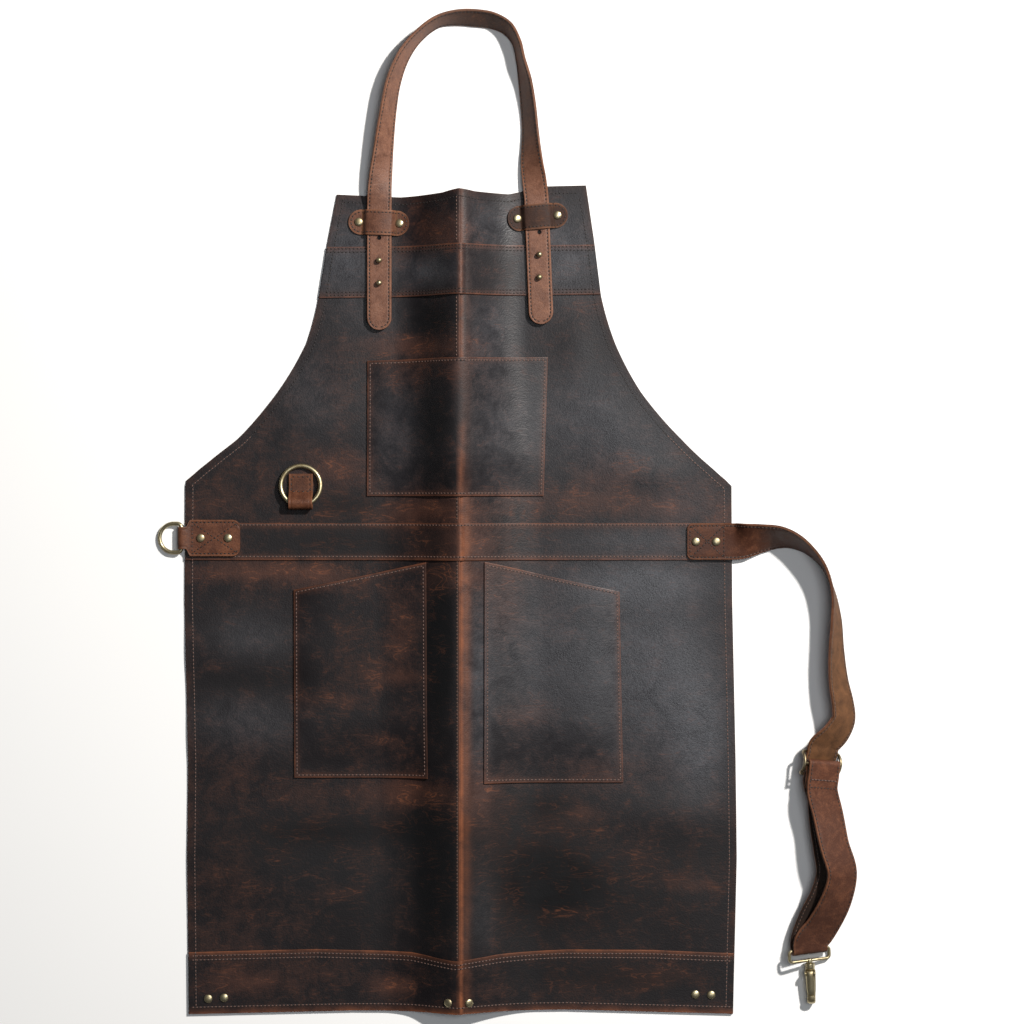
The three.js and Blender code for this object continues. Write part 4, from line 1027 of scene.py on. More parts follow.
def bent_round(frame, radius, angles):
    angles = np.radians(angles)
    return in_frame(frame, np.column_stack([radius * np.sin(angles), radius * np.cos(angles)]))


def one_run(steps, *parts):
    centres, sides = (np.vstack(each) for each in zip(*parts))
    return smooth_run(centres, steps), unit(smooth_run(sides, steps))


def waist_parts(inset=0.0):
    """The strap's runs in order: sewn end, way out, bend at the hook, way back, bend at the bar, tail."""
    bend = LOOP_WIRE + LOOP_CLEAR + STRAP_WALL / 2
    bar = SLIDER_WIRE + BAR_CLEAR + STRAP_WALL / 2
    over_end = -SLIDER_DROP + SLIDER_WIRE + GAP + STRAP_WALL / 2
    under_slider = ((-19, over_end + 2), (-11.8, over_end + 1), (0, -bar - STRAP_WALL - GAP),
                    (11, over_end + 0.5), (17, over_end + 0.6))
    out = one_run(6, tipped(WAIST_OUT, WAIST_WIDTH), in_frame(SLIDER_FRAME, under_slider),
                  tipped(WAIST_UNDER, WAIST_WIDTH), in_frame(HOOK_FRAME, ((-8, -bend), (0, -bend))))
    back = one_run(6, in_frame(HOOK_FRAME, ((0, bend), (-8, bend + 0.8))), tipped(WAIST_FRONT, WAIST_WIDTH),
                   in_frame(SLIDER_FRAME, ((SEWN_TAIL, bar + 0.8), (12, bar + 0.3), (0, bar))))
    tail = one_run(4, in_frame(SLIDER_FRAME, ((0, -bar), (5, -bar + 1), (11, -0.4), (SEWN_TAIL, -0.2))))
    tip = (WAIST_END[0] + inset, WAIST_END[1], out[0][0, 2])
    end = rounded_end(tip, out[0][0], out[1][0], WAIST_WIDTH - 2 * inset, WAIST_CORNER - inset)
    round_hook = bent_round(HOOK_FRAME, bend, np.arange(165, 10, -15))
    round_bar = bent_round(SLIDER_FRAME, bar, np.arange(-15, -170, -15))
    return end, out, round_hook, back, round_bar, tail


def waist_stations(inset=0.0):
    end, *runs = waist_parts(inset)
    centres = np.vstack([end[0], *(part[0] for part in runs)])
    sides = np.vstack([end[1], *(part[1] for part in runs)])
    widths = np.append(end[2], np.full(len(centres) - len(end[2]), WAIST_WIDTH - 2 * inset))
    return centres, sides, widths


STRAP_RIVETS = ((244.5, 489.3), (265.5, 489.3))
RIVET_HOLE = 1.95
# Painted shade on the flesh side between the strap's two layers, where the strap tips up by its sewn end, and
# low on the front run.
INNER_SHADE = 0.95
WAIST_SHADE = ((700, 540, 40, 20, 0.35), (812, 915, 40, 60, 0.3))
stations = waist_stations()
first, last = len(waist_parts()[0][0]), sum(len(part[0]) for part in waist_parts()[:2])
order = np.arange(len(stations[0]))
between_layers = (order >= first) & (order < last) & (stations[0][:, 1] < SLIDER_FRAME[0][1])
waist_strap = swept_strap("waist_strap_leather", *stations, STRAP_WALL, warmth=0.06,
                          soot=patches(WAIST_SHADE, *stations[0][:, :2].T),
                          back_soot=INNER_SHADE * between_layers)
punch(waist_strap, STRAP_RIVETS, RIVET_HOLE)
dress(waist_strap, "waist_strap", "apron")
print(waist_strap.name, len(waist_strap.data.polygons), "faces")

# %% [markdown]
# ## The two folded tabs
# Each tab is one strip folded round its ring's wire and sewn to itself. The strip's path is drawn from
# the end of the upper layer, round the wire and back along the lower layer. The side tab also changes its
# width: narrow in the D-ring, wide and round-cornered where it is riveted.

# %% Folded tabs
LAYER = 1.65
UPPER_LAYER = 2.55
TOWEL_X, TOWEL_Y = -165.8, 529.2
RING_TAB_WIDE = 24.8
RING_TAB_PATH = (
    (30.5, 2.55), (25, 2.55), (18, 2.55), (13.2, 3.1), (9.3, 6.3), (6, 9.4), (3.2, 11.6), (0, 12.5),
    (-4.1, 10.8), (-5.85, 6.7), (-4.1, 2.55), (0, 0.85), (8, 0.85), (16, 0.85), (24, 0.85), (30.5, 0.85),
)
SIDE_X, SIDE_Y = -289.4, 493
SIDE_TAB_LONG, SIDE_TAB_HALF, SIDE_NECK_HALF, SIDE_TAB_CORNER = 60.7, 18.9, 11.5, 8
SIDE_TAB_PATH = (
    (60.7, 2.55), (57, 2.55), (52.7, 2.55), (40, 2.55), (24, 2.55), (12, 2.6), (8, 3.0), (4.4, 4.4),
    (0, 5.15), (-2.44, 4.14), (-3.45, 1.7), (-2.44, -0.74), (0, -1.75), (3.6, -0.5), (8, 0.75), (12, 0.85),
    (24, 0.85), (40, 0.85), (52.7, 0.85), (57, 0.85), (60.7, 0.85),
)
SIDE_TAB_RIVETS = ((-269.5, 493), (-241, 493))
ON_BODY = BODY_WALL + GAP
ON_BAND = ON_BODY + TRIM_WALL + GAP


SIDE_NECK_AT = (4.6, 5.6, 7.6, 9)
SIDE_NECK_HALVES = (SIDE_NECK_HALF, SIDE_NECK_HALF + 1.2, SIDE_TAB_HALF - 1.5, SIDE_TAB_HALF)
RING_TAB_SHADE = 0.3


def side_tab_half(along, inset=0.0):
    """Half the width of the side tab, by the distance from the D-ring's bar."""
    corner = SIDE_TAB_CORNER - inset
    into = np.clip(along - (SIDE_TAB_LONG - SIDE_TAB_CORNER), 0, corner)
    rounded = SIDE_TAB_HALF - inset - corner + np.sqrt(corner**2 - into**2)
    neck = np.interp(along, SIDE_NECK_AT, SIDE_NECK_HALVES)
    return np.minimum(rounded, neck - inset)


path = smooth_run(RING_TAB_PATH, 5)
ring_centres = np.column_stack([np.full(len(path), TOWEL_X), TOWEL_Y + path[:, 0], ON_BODY + path[:, 1]])
ring_sides = np.tile((1.0, 0.0, 0.0), (len(path), 1))
# Painted shade on the tab's sewn upper part, which lies inside the ring.
shade = np.where(path[:, 0] > 12, RING_TAB_SHADE, 0)
ring_tab = swept_strap("ring_tab_leather", ring_centres, ring_sides, np.full(len(path), RING_TAB_WIDE), LAYER,
                       soot=shade)
dress(ring_tab, "ring_tab", "apron")

path = smooth_run(SIDE_TAB_PATH, 5)
centres = np.column_stack([SIDE_X + path[:, 0], np.full(len(path), SIDE_Y), ON_BAND + path[:, 1]])
sides = np.tile((0.0, -1.0, 0.0), (len(path), 1))
side_tab = swept_strap("side_tab_leather", centres, sides, 2 * side_tab_half(path[:, 0]), LAYER)
punch(side_tab, SIDE_TAB_RIVETS, RIVET_HOLE)
dress(side_tab, "side_tab", "apron")
for tab in (ring_tab, side_tab):
    print(tab.name, len(tab.data.polygons), "faces")

# %% [markdown]
# ## The keepers
# A keeper is a pill-shaped strip that arches over the neck strap and is riveted flat at both ends. It is a
# sheet like the pockets, with its own outline and a step up over the strap's thickness.

# %% Keepers
KEEPER_LONG, KEEPER_WIDE, KEEPER_PITCH = 64, 26, 42.6
KEEPER_ROOM, KEEPER_FLAT, KEEPER_CROWN = 12, 18.2, 1.4
KEEPER_BASE = ON_BODY + 0.4
KEEPER_OVER = BIB_LIFT + STRAP_WALL + GAP
KEEPER_WALL = TRIM_WALL
KEEPERS = {"left_keeper": (-84.3, 820.5, -2), "right_keeper": (79.6, 826.5, 5)}
KEEPER_RUB, KEEPER_RUB_REACH = 0.5, 1.2
KEEPER_END_STEPS = (0.05, 0.4, 1.2, 2.4, 4, 6, 8.5, 11.5, 14.5)
KEEPER_ROWS = (-1, -0.93, -0.8, -0.55, -0.2, 0.2, 0.55, 0.8, 0.93, 1)
# Warm tone, grey painted sheen and near-black painted shade for each keeper; the right one gets much more
# painted shade.
KEEPER_TONE_SHEEN_SHADE = {"left_keeper": (0.2, 0.15, 0.05), "right_keeper": (0.1, 0.3, 0.78)}


def keeper_place(name, along, out):
    x, y, turn = KEEPERS[name]
    cos, sin = math.cos(math.radians(turn)), math.sin(math.radians(turn))
    return x + along * cos - out * sin, y + along * sin + out * cos


def keeper_half(along, inset=0.0):
    radius = KEEPER_WIDE / 2 - inset
    into = np.maximum(radius - (KEEPER_LONG / 2 - inset - np.abs(along)), 0)
    return np.sqrt(np.maximum(radius**2 - into**2, 0))


def keeper_height(along):
    part = np.clip((np.abs(along) - KEEPER_ROOM) / (KEEPER_FLAT - KEEPER_ROOM), 0, 1)
    crown = KEEPER_CROWN * (1 - np.minimum(np.abs(along) / KEEPER_ROOM, 1) ** 2)
    return KEEPER_OVER + crown + (KEEPER_BASE - KEEPER_OVER) * part**2 * (3 - 2 * part) + KEEPER_WALL


def keeper_points(name):
    half = KEEPER_LONG / 2
    ends = half - np.array(KEEPER_END_STEPS)
    ramp = np.linspace(KEEPER_FLAT, KEEPER_ROOM, 7)
    columns = np.concatenate([ends, ramp, np.linspace(KEEPER_ROOM, 0, 6)[1:]])
    along = np.concatenate([-columns, columns[-2::-1]])
    part = np.array(KEEPER_ROWS)[:, None]
    x, y = keeper_place(name, along, part * keeper_half(along))
    return on_apron(x, y, keeper_height(along) + 0 * part)


for name, (x0, y0, turn) in KEEPERS.items():
    strip = leather_sheet(name + "_leather", keeper_points(name), KEEPER_WALL, STRAP_LEATHER)
    x, y, _ = places(strip).T
    cos, sin = math.cos(math.radians(turn)), math.sin(math.radians(turn))
    along = (x - x0) * cos + (y - y0) * sin
    out = -(x - x0) * sin + (y - y0) * cos
    inside = np.maximum(keeper_half(along) - np.abs(out), 0)
    rub = KEEPER_RUB * np.exp(-inside / KEEPER_RUB_REACH)
    warm, bloom, soot = KEEPER_TONE_SHEEN_SHADE[name]
    keep_values(strip, warm=0 * x + warm, bloom=0 * x + bloom, soot=0 * x + soot, rub=rub,
                under=under_side(strip))
    dress(strip, name, "apron")
    print(strip.name, len(strip.data.polygons), "faces")

# %% [markdown]
# ## Antique brass
# Brass that was darkened and then rubbed bright on its high places. The shared group gives a cloudy
# patina and a fine cast roughness; the two finishes differ in how dark the brass is underneath.

# %% Brass
PATINA, given, asked = new_group(
    "brass_patina", (("Vector", "NodeSocketVector"), ("Size", "NodeSocketFloat")), ("Patina", "Height")
)
tarnish = put(PATINA, "ShaderNodeTexNoise", None,
              {"Vector": given["Vector"], "Scale": given["Size"], "Detail": 5.0, "Roughness": 0.6,
               "Distortion": 0.8})
pit_size = maths(PATINA, "MULTIPLY", given["Size"], 6.0)
pitting = put(PATINA, "ShaderNodeTexNoise", None,
              {"Vector": given["Vector"], "Scale": pit_size, "Detail": 3.0})
PATINA.links.new(remap(PATINA, tarnish.outputs["Fac"], 0.42, 0.66), asked["Patina"])
PATINA.links.new(pitting.outputs["Fac"], asked["Height"])


def brass_material(name, bright, dark):
    material, tree, shader, place = new_material(name)
    patina = use_group(tree, PATINA, {"Vector": place, "Size": 90.0})
    shader.inputs["Metallic"].default_value = 1.0
    tree.links.new(blend_colours(tree, patina["Patina"], bright, dark), shader.inputs["Base Color"])
    tree.links.new(remap(tree, patina["Patina"], 0.0, 1.0, 0.36, 0.56), shader.inputs["Roughness"])
    bump = put(tree, "ShaderNodeBump", None,
               {"Strength": 0.05, "Distance": 0.0002, "Height": patina["Height"]})
    tree.links.new(bump.outputs[0], shader.inputs["Normal"])
    return material


ANTIQUE_BRASS = brass_material("antique_brass", (0.5, 0.435, 0.275, 1), (0.25, 0.2, 0.115, 1))
DARK_BRASS = brass_material("dark_brass", (0.33, 0.27, 0.17, 1), (0.1, 0.075, 0.045, 1))
print("finishes:", ANTIQUE_BRASS.name, DARK_BRASS.name)

# %% [markdown]
# ## Turned pieces
# Rivets, studs and the hook's collar are turned on a lathe. The Screw modifier could sweep a profile round
# an axis, but a disc that is pushed up ring by ring and resized at each step gives the same shape in plain
# edit-mode moves. A piece is turned at the origin and then stood on the leather, square to it.

# %% Turning
RIVET_POST, RIVET_BACK = 1.4, 3.3
RIVET_SEAT = 6.0


def close_edit(piece, angle=35):
    """Merge doubles, turn the faces outwards and go back to object mode with the shape at the origin."""
    bpy.ops.mesh.select_all(action="SELECT")
    bpy.ops.mesh.remove_doubles(threshold=1e-6)
    bpy.ops.mesh.normals_make_consistent(inside=False)
    bpy.ops.object.mode_set(mode="OBJECT")
    bpy.ops.object.transform_apply(location=True, rotation=True, scale=True)
    bpy.ops.object.shade_smooth_by_angle(angle=math.radians(angle))
    piece.select_set(False)


def turned(name, profile, sides, material):
    """A piece turned about +Z from a profile of radius and height, in millimetres."""
    radius, height = profile[0]
    bpy.ops.mesh.primitive_circle_add(vertices=sides, radius=radius * MM, fill_type="NGON")
    piece = bpy.context.object
    piece.name = name
    open_edit(piece)
    bpy.ops.transform.translate(value=(0, 0, height * MM))
    for (radius, height), (next_radius, next_height) in zip(profile, profile[1:]):
        lift = (0, 0, (next_height - height) * MM)
        bpy.ops.mesh.extrude_region_move(TRANSFORM_OT_translate={"value": lift})
        grow = next_radius / radius
        bpy.ops.transform.resize(value=(grow, grow, 1), center_override=(0, 0, next_height * MM))
    close_edit(piece)
    piece.data.materials.append(material)
    return piece


def own_copy(template, name):
    piece = bpy.data.objects.new(name, template.data.copy())
    scene.collection.objects.link(piece)
    return piece


def stand_on(piece, x, y):
    """Move a turned piece from the origin to its place on the apron."""
    turn = off_leather(x, y).to_matrix().to_4x4()
    piece.data.transform(Matrix.Translation(to_part((x, y, lie(np.float64(x), np.float64(y))))) @ turn)


# %% [markdown]
# ## The rivets
# A rivet has a flat disc behind the leather, a post through it and a domed cap in front. One is turned
# and copied fourteen times. Each copy's mesh is its own, so its post can be made as long as its layers
# are thick.

# %% Rivets
RIVET_SPLIT = 2.0
SIDE_TAB_THICK = 3.4
HEM_RIVETS = ((-262, 14.5), (-245.5, 15.5), (-10, 14), (8, 13.5), (244, 19), (260.5, 18.5))
rivet = turned("rivet", (
    (RIVET_BACK, 0.25), (RIVET_BACK, 0.75), (RIVET_BACK - 0.2, 0.85), (RIVET_POST, 0.85),
    (RIVET_POST, RIVET_SEAT), (4.1, RIVET_SEAT), (4.35, RIVET_SEAT + 0.2), (4.4, RIVET_SEAT + 0.5),
    (4.2, RIVET_SEAT + 0.85),
    (3.6, RIVET_SEAT + 1.25), (2.7, RIVET_SEAT + 1.6), (1.6, RIVET_SEAT + 1.82), (0.5, RIVET_SEAT + 1.9),
), 28, ANTIQUE_BRASS)


def set_rivet(node, x, y, top):
    """A copy of the rivet whose cap sits on the leather at the given height."""
    piece = own_copy(rivet, node + "_cap")
    for vertex in piece.data.vertices:
        if vertex.co.z > RIVET_SPLIT * MM:
            vertex.co.z += (top + GAP - RIVET_SEAT) * MM
    stand_on(piece, x, y)
    dress(piece, node, "apron")


for name in KEEPERS:
    for letter, along in zip("ab", (-KEEPER_PITCH / 2, KEEPER_PITCH / 2)):
        set_rivet(f"{name}_rivet_{letter}", *keeper_place(name, along, 0), KEEPER_BASE + KEEPER_WALL)
for letter, (x, y) in zip("ab", SIDE_TAB_RIVETS):
    set_rivet(f"side_tab_rivet_{letter}", x, y, ON_BAND + SIDE_TAB_THICK)
for letter, (x, y) in zip("ab", STRAP_RIVETS):
    set_rivet(f"strap_rivet_{letter}", x, y, ON_BAND + STRAP_WALL)
for letter, (x, y) in zip("abcdef", HEM_RIVETS):
    set_rivet(f"hem_rivet_{letter}", x, y, float(trim_base(np.float64(x))) + TRIM_WALL)
bpy.data.objects.remove(rivet)
print("14 rivets set")

# %% [markdown]
# ## The button studs
# A stud is a small knob on a neck, over which the hole of the neck strap is pushed. It is turned like the
# rivet with a longer profile: back, post, shoulder, neck and knob. Four copies stand at the strap's holes.

# %% Studs
STUD_TOP = BIB_LIFT + STRAP_WALL
stud = turned("stud", (
    (RIVET_BACK, 0.25), (RIVET_BACK, 0.85), (RIVET_POST, 0.85), (RIVET_POST, 4.2), (3.2, 4.2), (3.2, 4.9),
    (1.5, 4.9), (1.5, STUD_TOP + 0.6), (1.9, STUD_TOP + 1.1), (2.6, STUD_TOP + 1.8), (2.95, STUD_TOP + 2.6),
    (3.0, STUD_TOP + 3.3), (2.75, STUD_TOP + 4.2), (2.2, STUD_TOP + 5.0), (1.3, STUD_TOP + 5.6),
    (0.4, STUD_TOP + 5.9),
), 28, ANTIQUE_BRASS)
STUDS = {
    "left_stud_lower": (-84.3, 757.5), "left_stud_upper": (-84.3, 781),
    "right_stud_lower": (82, 763.5), "right_stud_upper": (82, 787),
}
for node, (x, y) in STUDS.items():
    button = own_copy(stud, node + "_button")
    stand_on(button, x, y)
    dress(button, node, "apron")
bpy.data.objects.remove(stud)
print(len(STUDS), "studs set")

# %% [markdown]
# ## Bent wire
# The rings, the slider and the hook's loop are bent from round wire in a jig and brazed shut. Here a disc
# is pushed along each straight and spun about each corner's centre, as the jig does it. The joint stays
# as a hair line where the strap or tab hides it.

# %% Wire helpers
WIRE_JOINT = 0.05


def bent_wire(name, radius, sides, start, heading, moves, material):
    """Wire from a start and a heading; a move is a length to push, or centre, axis and degrees to turn."""
    heading, place = Vector(heading).normalized(), Vector(start)
    turn = heading.to_track_quat("Z", "Y").to_euler()
    bpy.ops.mesh.primitive_circle_add(vertices=sides, radius=radius * MM, fill_type="NGON",
                                      location=place * MM, rotation=turn)
    piece = bpy.context.object
    piece.name = name
    open_edit(piece)
    for move in moves:
        if isinstance(move, (int, float)):
            bpy.ops.mesh.extrude_region_move(TRANSFORM_OT_translate={"value": heading * move * MM})
            place = place + heading * move
        else:
            centre, axis, degrees = Vector(move[0]), Vector(move[1]).normalized(), move[2]
            steps = max(round(abs(degrees) / 9), 3)
            bpy.ops.mesh.spin(steps=steps, angle=-math.radians(degrees), center=centre * MM, axis=axis)
            swing = Matrix.Rotation(math.radians(degrees), 3, axis)
            place, heading = centre + swing @ (place - centre), swing @ heading
    close_edit(piece, 50)
    piece.data.materials.append(material)
    return piece, place


def join_into(main, *others):
    bpy.ops.object.select_all(action="DESELECT")
    for other in (main, *others):
        other.select_set(True)
    bpy.context.view_layer.objects.active = main
    bpy.ops.object.join()
    main.select_set(False)


def move_to(piece, place, turn):
    """Turn a piece that was modelled at the origin and set it at a place in the cutter's millimetres."""
    piece.data.transform(Matrix.Translation(to_part(place)) @ turn)


# %% [markdown]
# ## The towel ring and the D-ring
# Both hang in a fold of leather and swing there. The towel ring is one full turn of the wire; the D-ring is
# a straight bar, two corners and a half turn. They are bent at the origin, where a jig is easy to set out,
# and then tipped and moved inside the mesh, so that the finished object still sits at the origin.

# %% Rings
UP = (0, 0, 1)
RING_RADIUS, RING_WIRE, RING_SEAT, RING_DROOP = 20.6, 2.4, 2.2, 6.2
RING_Z = ON_BODY + 6.7
towel_ring, end = bent_wire("towel_ring_brass", RING_WIRE, 20, (0, -RING_SEAT, 0), (1, 0, 0),
                            [((0, RING_RADIUS - RING_SEAT, 0), UP, 359.7)], ANTIQUE_BRASS)
print("towel ring closes to", round((end - Vector((0, -RING_SEAT, 0))).length, 2), "mm")
move_to(towel_ring, (TOWEL_X, TOWEL_Y, RING_Z), Matrix.Rotation(-math.radians(RING_DROOP), 4, "X"))
dress(towel_ring, "towel_ring", "towel_ring")

SIDE_WIRE, SIDE_DROOP = 2.1, 8.2
BAR_HALF, BAR_CORNER, SHANK = 10, 5, 3.4
side_ring, end = bent_wire("side_ring_brass", SIDE_WIRE, 20, (0, 0, 0), (0, 1, 0), [
    BAR_HALF, ((-BAR_CORNER, BAR_HALF, 0), UP, 90), SHANK,
    ((-BAR_CORNER - SHANK, 0, 0), UP, 180),
    SHANK, ((-BAR_CORNER, -BAR_HALF, 0), UP, 90), BAR_HALF - WIRE_JOINT,
], ANTIQUE_BRASS)
print("side ring closes to", round(end.length, 2), "mm")
move_to(side_ring, (SIDE_X, SIDE_Y, ON_BAND + 1.7), Matrix.Rotation(-math.radians(SIDE_DROOP), 4, "Y"))
dress(side_ring, "side_ring", "side_ring")

# %% [markdown]
# ## The slider
# The adjuster of the waist strap is a bowed frame with a bar across its middle. The strap runs over the
# low ends and under the bar, and its tail is sewn round the bar. A flat frame could be bent afterwards
# with Simple Deform, but that pulls the round wire out of shape. Here each corner turns about a leaning
# axis, the cross product of the headings before and after it, and each rail is an arc about a hub below
# the bar.

# %% Slider
SLIDER_HALF, SLIDER_REACH, SLIDER_CORNER = 22.4, 11.8, 4
SLIDER_CLIMB = 53.7


def frame_turn(frame):
    """A turn from x along the strap, y across it and z out of its face to the part's axes."""
    _, u, v, n = frame
    return Matrix((u, -v, n)).transposed().to_4x4()


climb = math.radians(SLIDER_CLIMB)
rise = Vector((-math.cos(climb), 0, math.sin(climb)))
fall = Vector((-math.cos(climb), 0, -math.sin(climb)))
low_corner = Vector((SLIDER_REACH, SLIDER_HALF - SLIDER_CORNER, -SLIDER_DROP))
rail = low_corner + Vector((0, SLIDER_CORNER, 0)) + rise * SLIDER_CORNER
rail_radius = rail.x / math.sin(climb)
hub = Vector((0, rail.y, rail.z - rail_radius * math.cos(climb)))
ACROSS = Vector((0, 1, 0))
far = Vector((-SLIDER_REACH, low_corner.y, -SLIDER_DROP))
straight = 2 * low_corner.y
slider, end = bent_wire("slider_brass", SLIDER_WIRE, 16, (SLIDER_REACH, 0, -SLIDER_DROP), ACROSS, [
    low_corner.y,
    (low_corner + rise * SLIDER_CORNER, ACROSS.cross(rise), 90),
    (hub, -ACROSS, 2 * SLIDER_CLIMB),
    (far - fall * SLIDER_CORNER, fall.cross(-ACROSS), 90),
    straight,
    (far * Vector((1, -1, 1)) - fall * SLIDER_CORNER, (-ACROSS).cross(-fall), 90),
    (hub * Vector((1, -1, 1)), ACROSS, 2 * SLIDER_CLIMB),
    (low_corner * Vector((1, -1, 1)) + rise * SLIDER_CORNER, (-rise).cross(ACROSS), 90),
    low_corner.y - WIRE_JOINT,
], DARK_BRASS)
print("slider closes to", round((end - Vector((SLIDER_REACH, 0, -SLIDER_DROP))).length, 2), "mm")
bar, _ = bent_wire("slider_bar", SLIDER_WIRE, 16, (0, -SLIDER_HALF, 0), ACROSS,
                   [SLIDER_HALF, SLIDER_HALF], DARK_BRASS)
join_into(slider, bar)
move_to(slider, SLIDER_FRAME[0], frame_turn(SLIDER_FRAME))
dress(slider, "slider", "apron")

# %% [markdown]
# ## The snap hook's loop
# The hook is three pieces that move against each other: a wire loop that hangs in the strap with a headed
# post, a cast body whose collar turns on that post, and a sprung gate on a pin. The loop is bent like the
# rings and its post is turned like a rivet, so both helpers are used again and the two are joined.

# %% Hook loop
LOOP_HALF, LOOP_LONG, LOOP_CORNER = 22.4, 11.7, 3.6
TO_X = Matrix.Rotation(math.radians(90), 4, "Y")
side, deep = LOOP_HALF - LOOP_CORNER, LOOP_LONG - LOOP_CORNER
hook_loop, end = bent_wire("hook_loop_brass", LOOP_WIRE, 16, (0, 0, 0), (0, 1, 0), [
    side, ((LOOP_CORNER, side, 0), UP, -90), deep - LOOP_CORNER, ((deep, side, 0), UP, -90), 2 * side,
    ((deep, -side, 0), UP, -90), deep - LOOP_CORNER, ((LOOP_CORNER, -side, 0), UP, -90), side - WIRE_JOINT,
], ANTIQUE_BRASS)
print("hook loop closes to", round(end.length, 2), "mm")
post = turned("loop_post", (
    (2.7, LOOP_LONG - 1.6), (2.9, LOOP_LONG - 1.2), (2.9, LOOP_LONG + 2.1), (2.6, LOOP_LONG + 2.4),
    (1.5, LOOP_LONG + 2.4), (1.5, LOOP_LONG + 4.9), (2.6, LOOP_LONG + 4.9), (2.6, LOOP_LONG + 6.2),
    (2.2, LOOP_LONG + 6.5),
), 20, ANTIQUE_BRASS)
post.data.transform(TO_X)
join_into(hook_loop, post)
move_to(hook_loop, HOOK_FRAME[0], frame_turn(HOOK_FRAME))
dress(hook_loop, "hook_loop", "hook_loop")

# %% [markdown]
# ## The hook's body
# The body runs from its swivel collar down a flat back, round the bend and up to the nose. It could be
# sculpted, but a forger draws such a hook out of a bar, and so does this cell: a disc is pushed and resized
# along the back, spun round the bend and pushed on to the nose. Collar and pin are turned, and two lugs are
# cylinders whose lower half is drawn down to the back. All of it moves as one, so it is joined.

# %% Hook body
HOOK_LEAN, HOOK_ROLL = 18, 8
HOOK_TURN = frame_turn(HOOK_FRAME) @ Matrix.Rotation(math.radians(90 + HOOK_LEAN + HOOK_ROLL), 4, "X")
HOOK_PLACE = HOOK_FRAME[0] + HOOK_FRAME[1] * LOOP_LONG
BEND_X, BEND_Y = 39.0, 0.5
HOOK_BACK = (  # along, out, half thickness, half width
    (8.4, -1.2, 3.1, 4.4), (10.5, -2.0, 2.9, 5.0), (13, -3.5, 2.2, 5.3), (15.5, -4.4, 1.65, 5.3),
    (19, -4.55, 1.5, 5.2), (27, -4.55, 1.5, 5.0), (34, -4.55, 1.55, 4.6), (BEND_X, -4.55, 1.65, 4.1),
)
HOOK_NOSE = ((37.2, 5.55, 1.75, 3.5), (36.1, 5.55, 1.7, 3.1))
EAR_X, EAR_Y, EAR_RADIUS, EAR_DROP = 13, 5, 2.7, 6


def drawn_bar(name, rows, sides):
    """A bar pushed from row to row and resized to each row's thickness and width; stays in edit mode."""
    along, out, thick, wide = rows[0]
    bpy.ops.mesh.primitive_circle_add(vertices=sides, radius=MM, fill_type="NGON",
                                      rotation=(0, math.radians(90), 0))
    piece = bpy.context.object
    piece.name = name
    open_edit(piece)
    bpy.ops.transform.translate(value=(along * MM, out * MM, 0))
    bpy.ops.transform.resize(value=(1, thick, wide), center_override=(along * MM, out * MM, 0))
    push_on(rows)
    return piece


def push_on(rows):
    for (along, out, thick, wide), (to_along, to_out, to_thick, to_wide) in zip(rows, rows[1:]):
        shift = ((to_along - along) * MM, (to_out - out) * MM, 0)
        bpy.ops.mesh.extrude_region_move(TRANSFORM_OT_translate={"value": shift})
        bpy.ops.transform.resize(value=(1, to_thick / thick, to_wide / wide),
                                 center_override=(to_along * MM, to_out * MM, 0))


def hook_ear(name, low, high):
    """A round-topped lug beside the gate, drawn down to the body."""
    bpy.ops.mesh.primitive_cylinder_add(vertices=20, radius=EAR_RADIUS * MM, depth=(high - low) * MM,
                                        location=(EAR_X * MM, EAR_Y * MM, (low + high) / 2 * MM))
    piece = bpy.context.object
    piece.name = name
    piece.data.materials.append(ANTIQUE_BRASS)
    open_edit(piece)
    bpy.ops.mesh.select_all(action="DESELECT")
    bpy.ops.mesh.select_mode(type="VERT")
    bpy.ops.object.mode_set(mode="OBJECT")
    for vertex in piece.data.vertices:
        vertex.select = vertex.co.y < -0.1 * MM
    bpy.ops.object.mode_set(mode="EDIT")
    bpy.ops.transform.translate(value=(0, -EAR_DROP * MM, 0))
    bpy.ops.mesh.select_mode(type="FACE")
    close_edit(piece)
    return piece


hook_body = drawn_bar("hook_body_brass", HOOK_BACK, 20)
bpy.ops.mesh.spin(steps=16, angle=-math.pi, center=(BEND_X * MM, BEND_Y * MM, 0), axis=(0, 0, 1))
_, back_out, back_thick, back_wide = HOOK_BACK[-1]
push_on(((BEND_X, 2 * BEND_Y - back_out, back_thick, back_wide), *HOOK_NOSE))
close_edit(hook_body, 40)
hook_body.data.materials.append(ANTIQUE_BRASS)
collar = turned("hook_collar", (
    (3.0, 6.9), (3.0, 4.6), (1.9, 4.6), (1.9, 2.8), (4.3, 2.8), (4.85, 3.2), (5.0, 3.8), (5.0, 5.0),
    (4.7, 5.3), (4.7, 5.9), (5.0, 6.2), (5.0, 8.4), (4.6, 9.3), (3.6, 10.2), (2.0, 10.8),
), 24, ANTIQUE_BRASS)
collar.data.transform(TO_X)
pin = turned("hook_pin", (
    (0.7, -5.9), (1.5, -5.7), (1.7, -5.4), (1.1, -5.3), (1.1, 5.3), (1.7, 5.4), (1.5, 5.7), (0.7, 5.9),
), 16, ANTIQUE_BRASS)
pin.data.transform(Matrix.Translation((EAR_X * MM, EAR_Y * MM, 0)))
join_into(hook_body, collar, pin, hook_ear("ear_near", 4.4, 5.4), hook_ear("ear_far", -5.4, -4.4))
move_to(hook_body, HOOK_PLACE, HOOK_TURN)
dress(hook_body, "hook_body", "hook_body")
print(hook_body.name, len(hook_body.data.polygons), "faces")

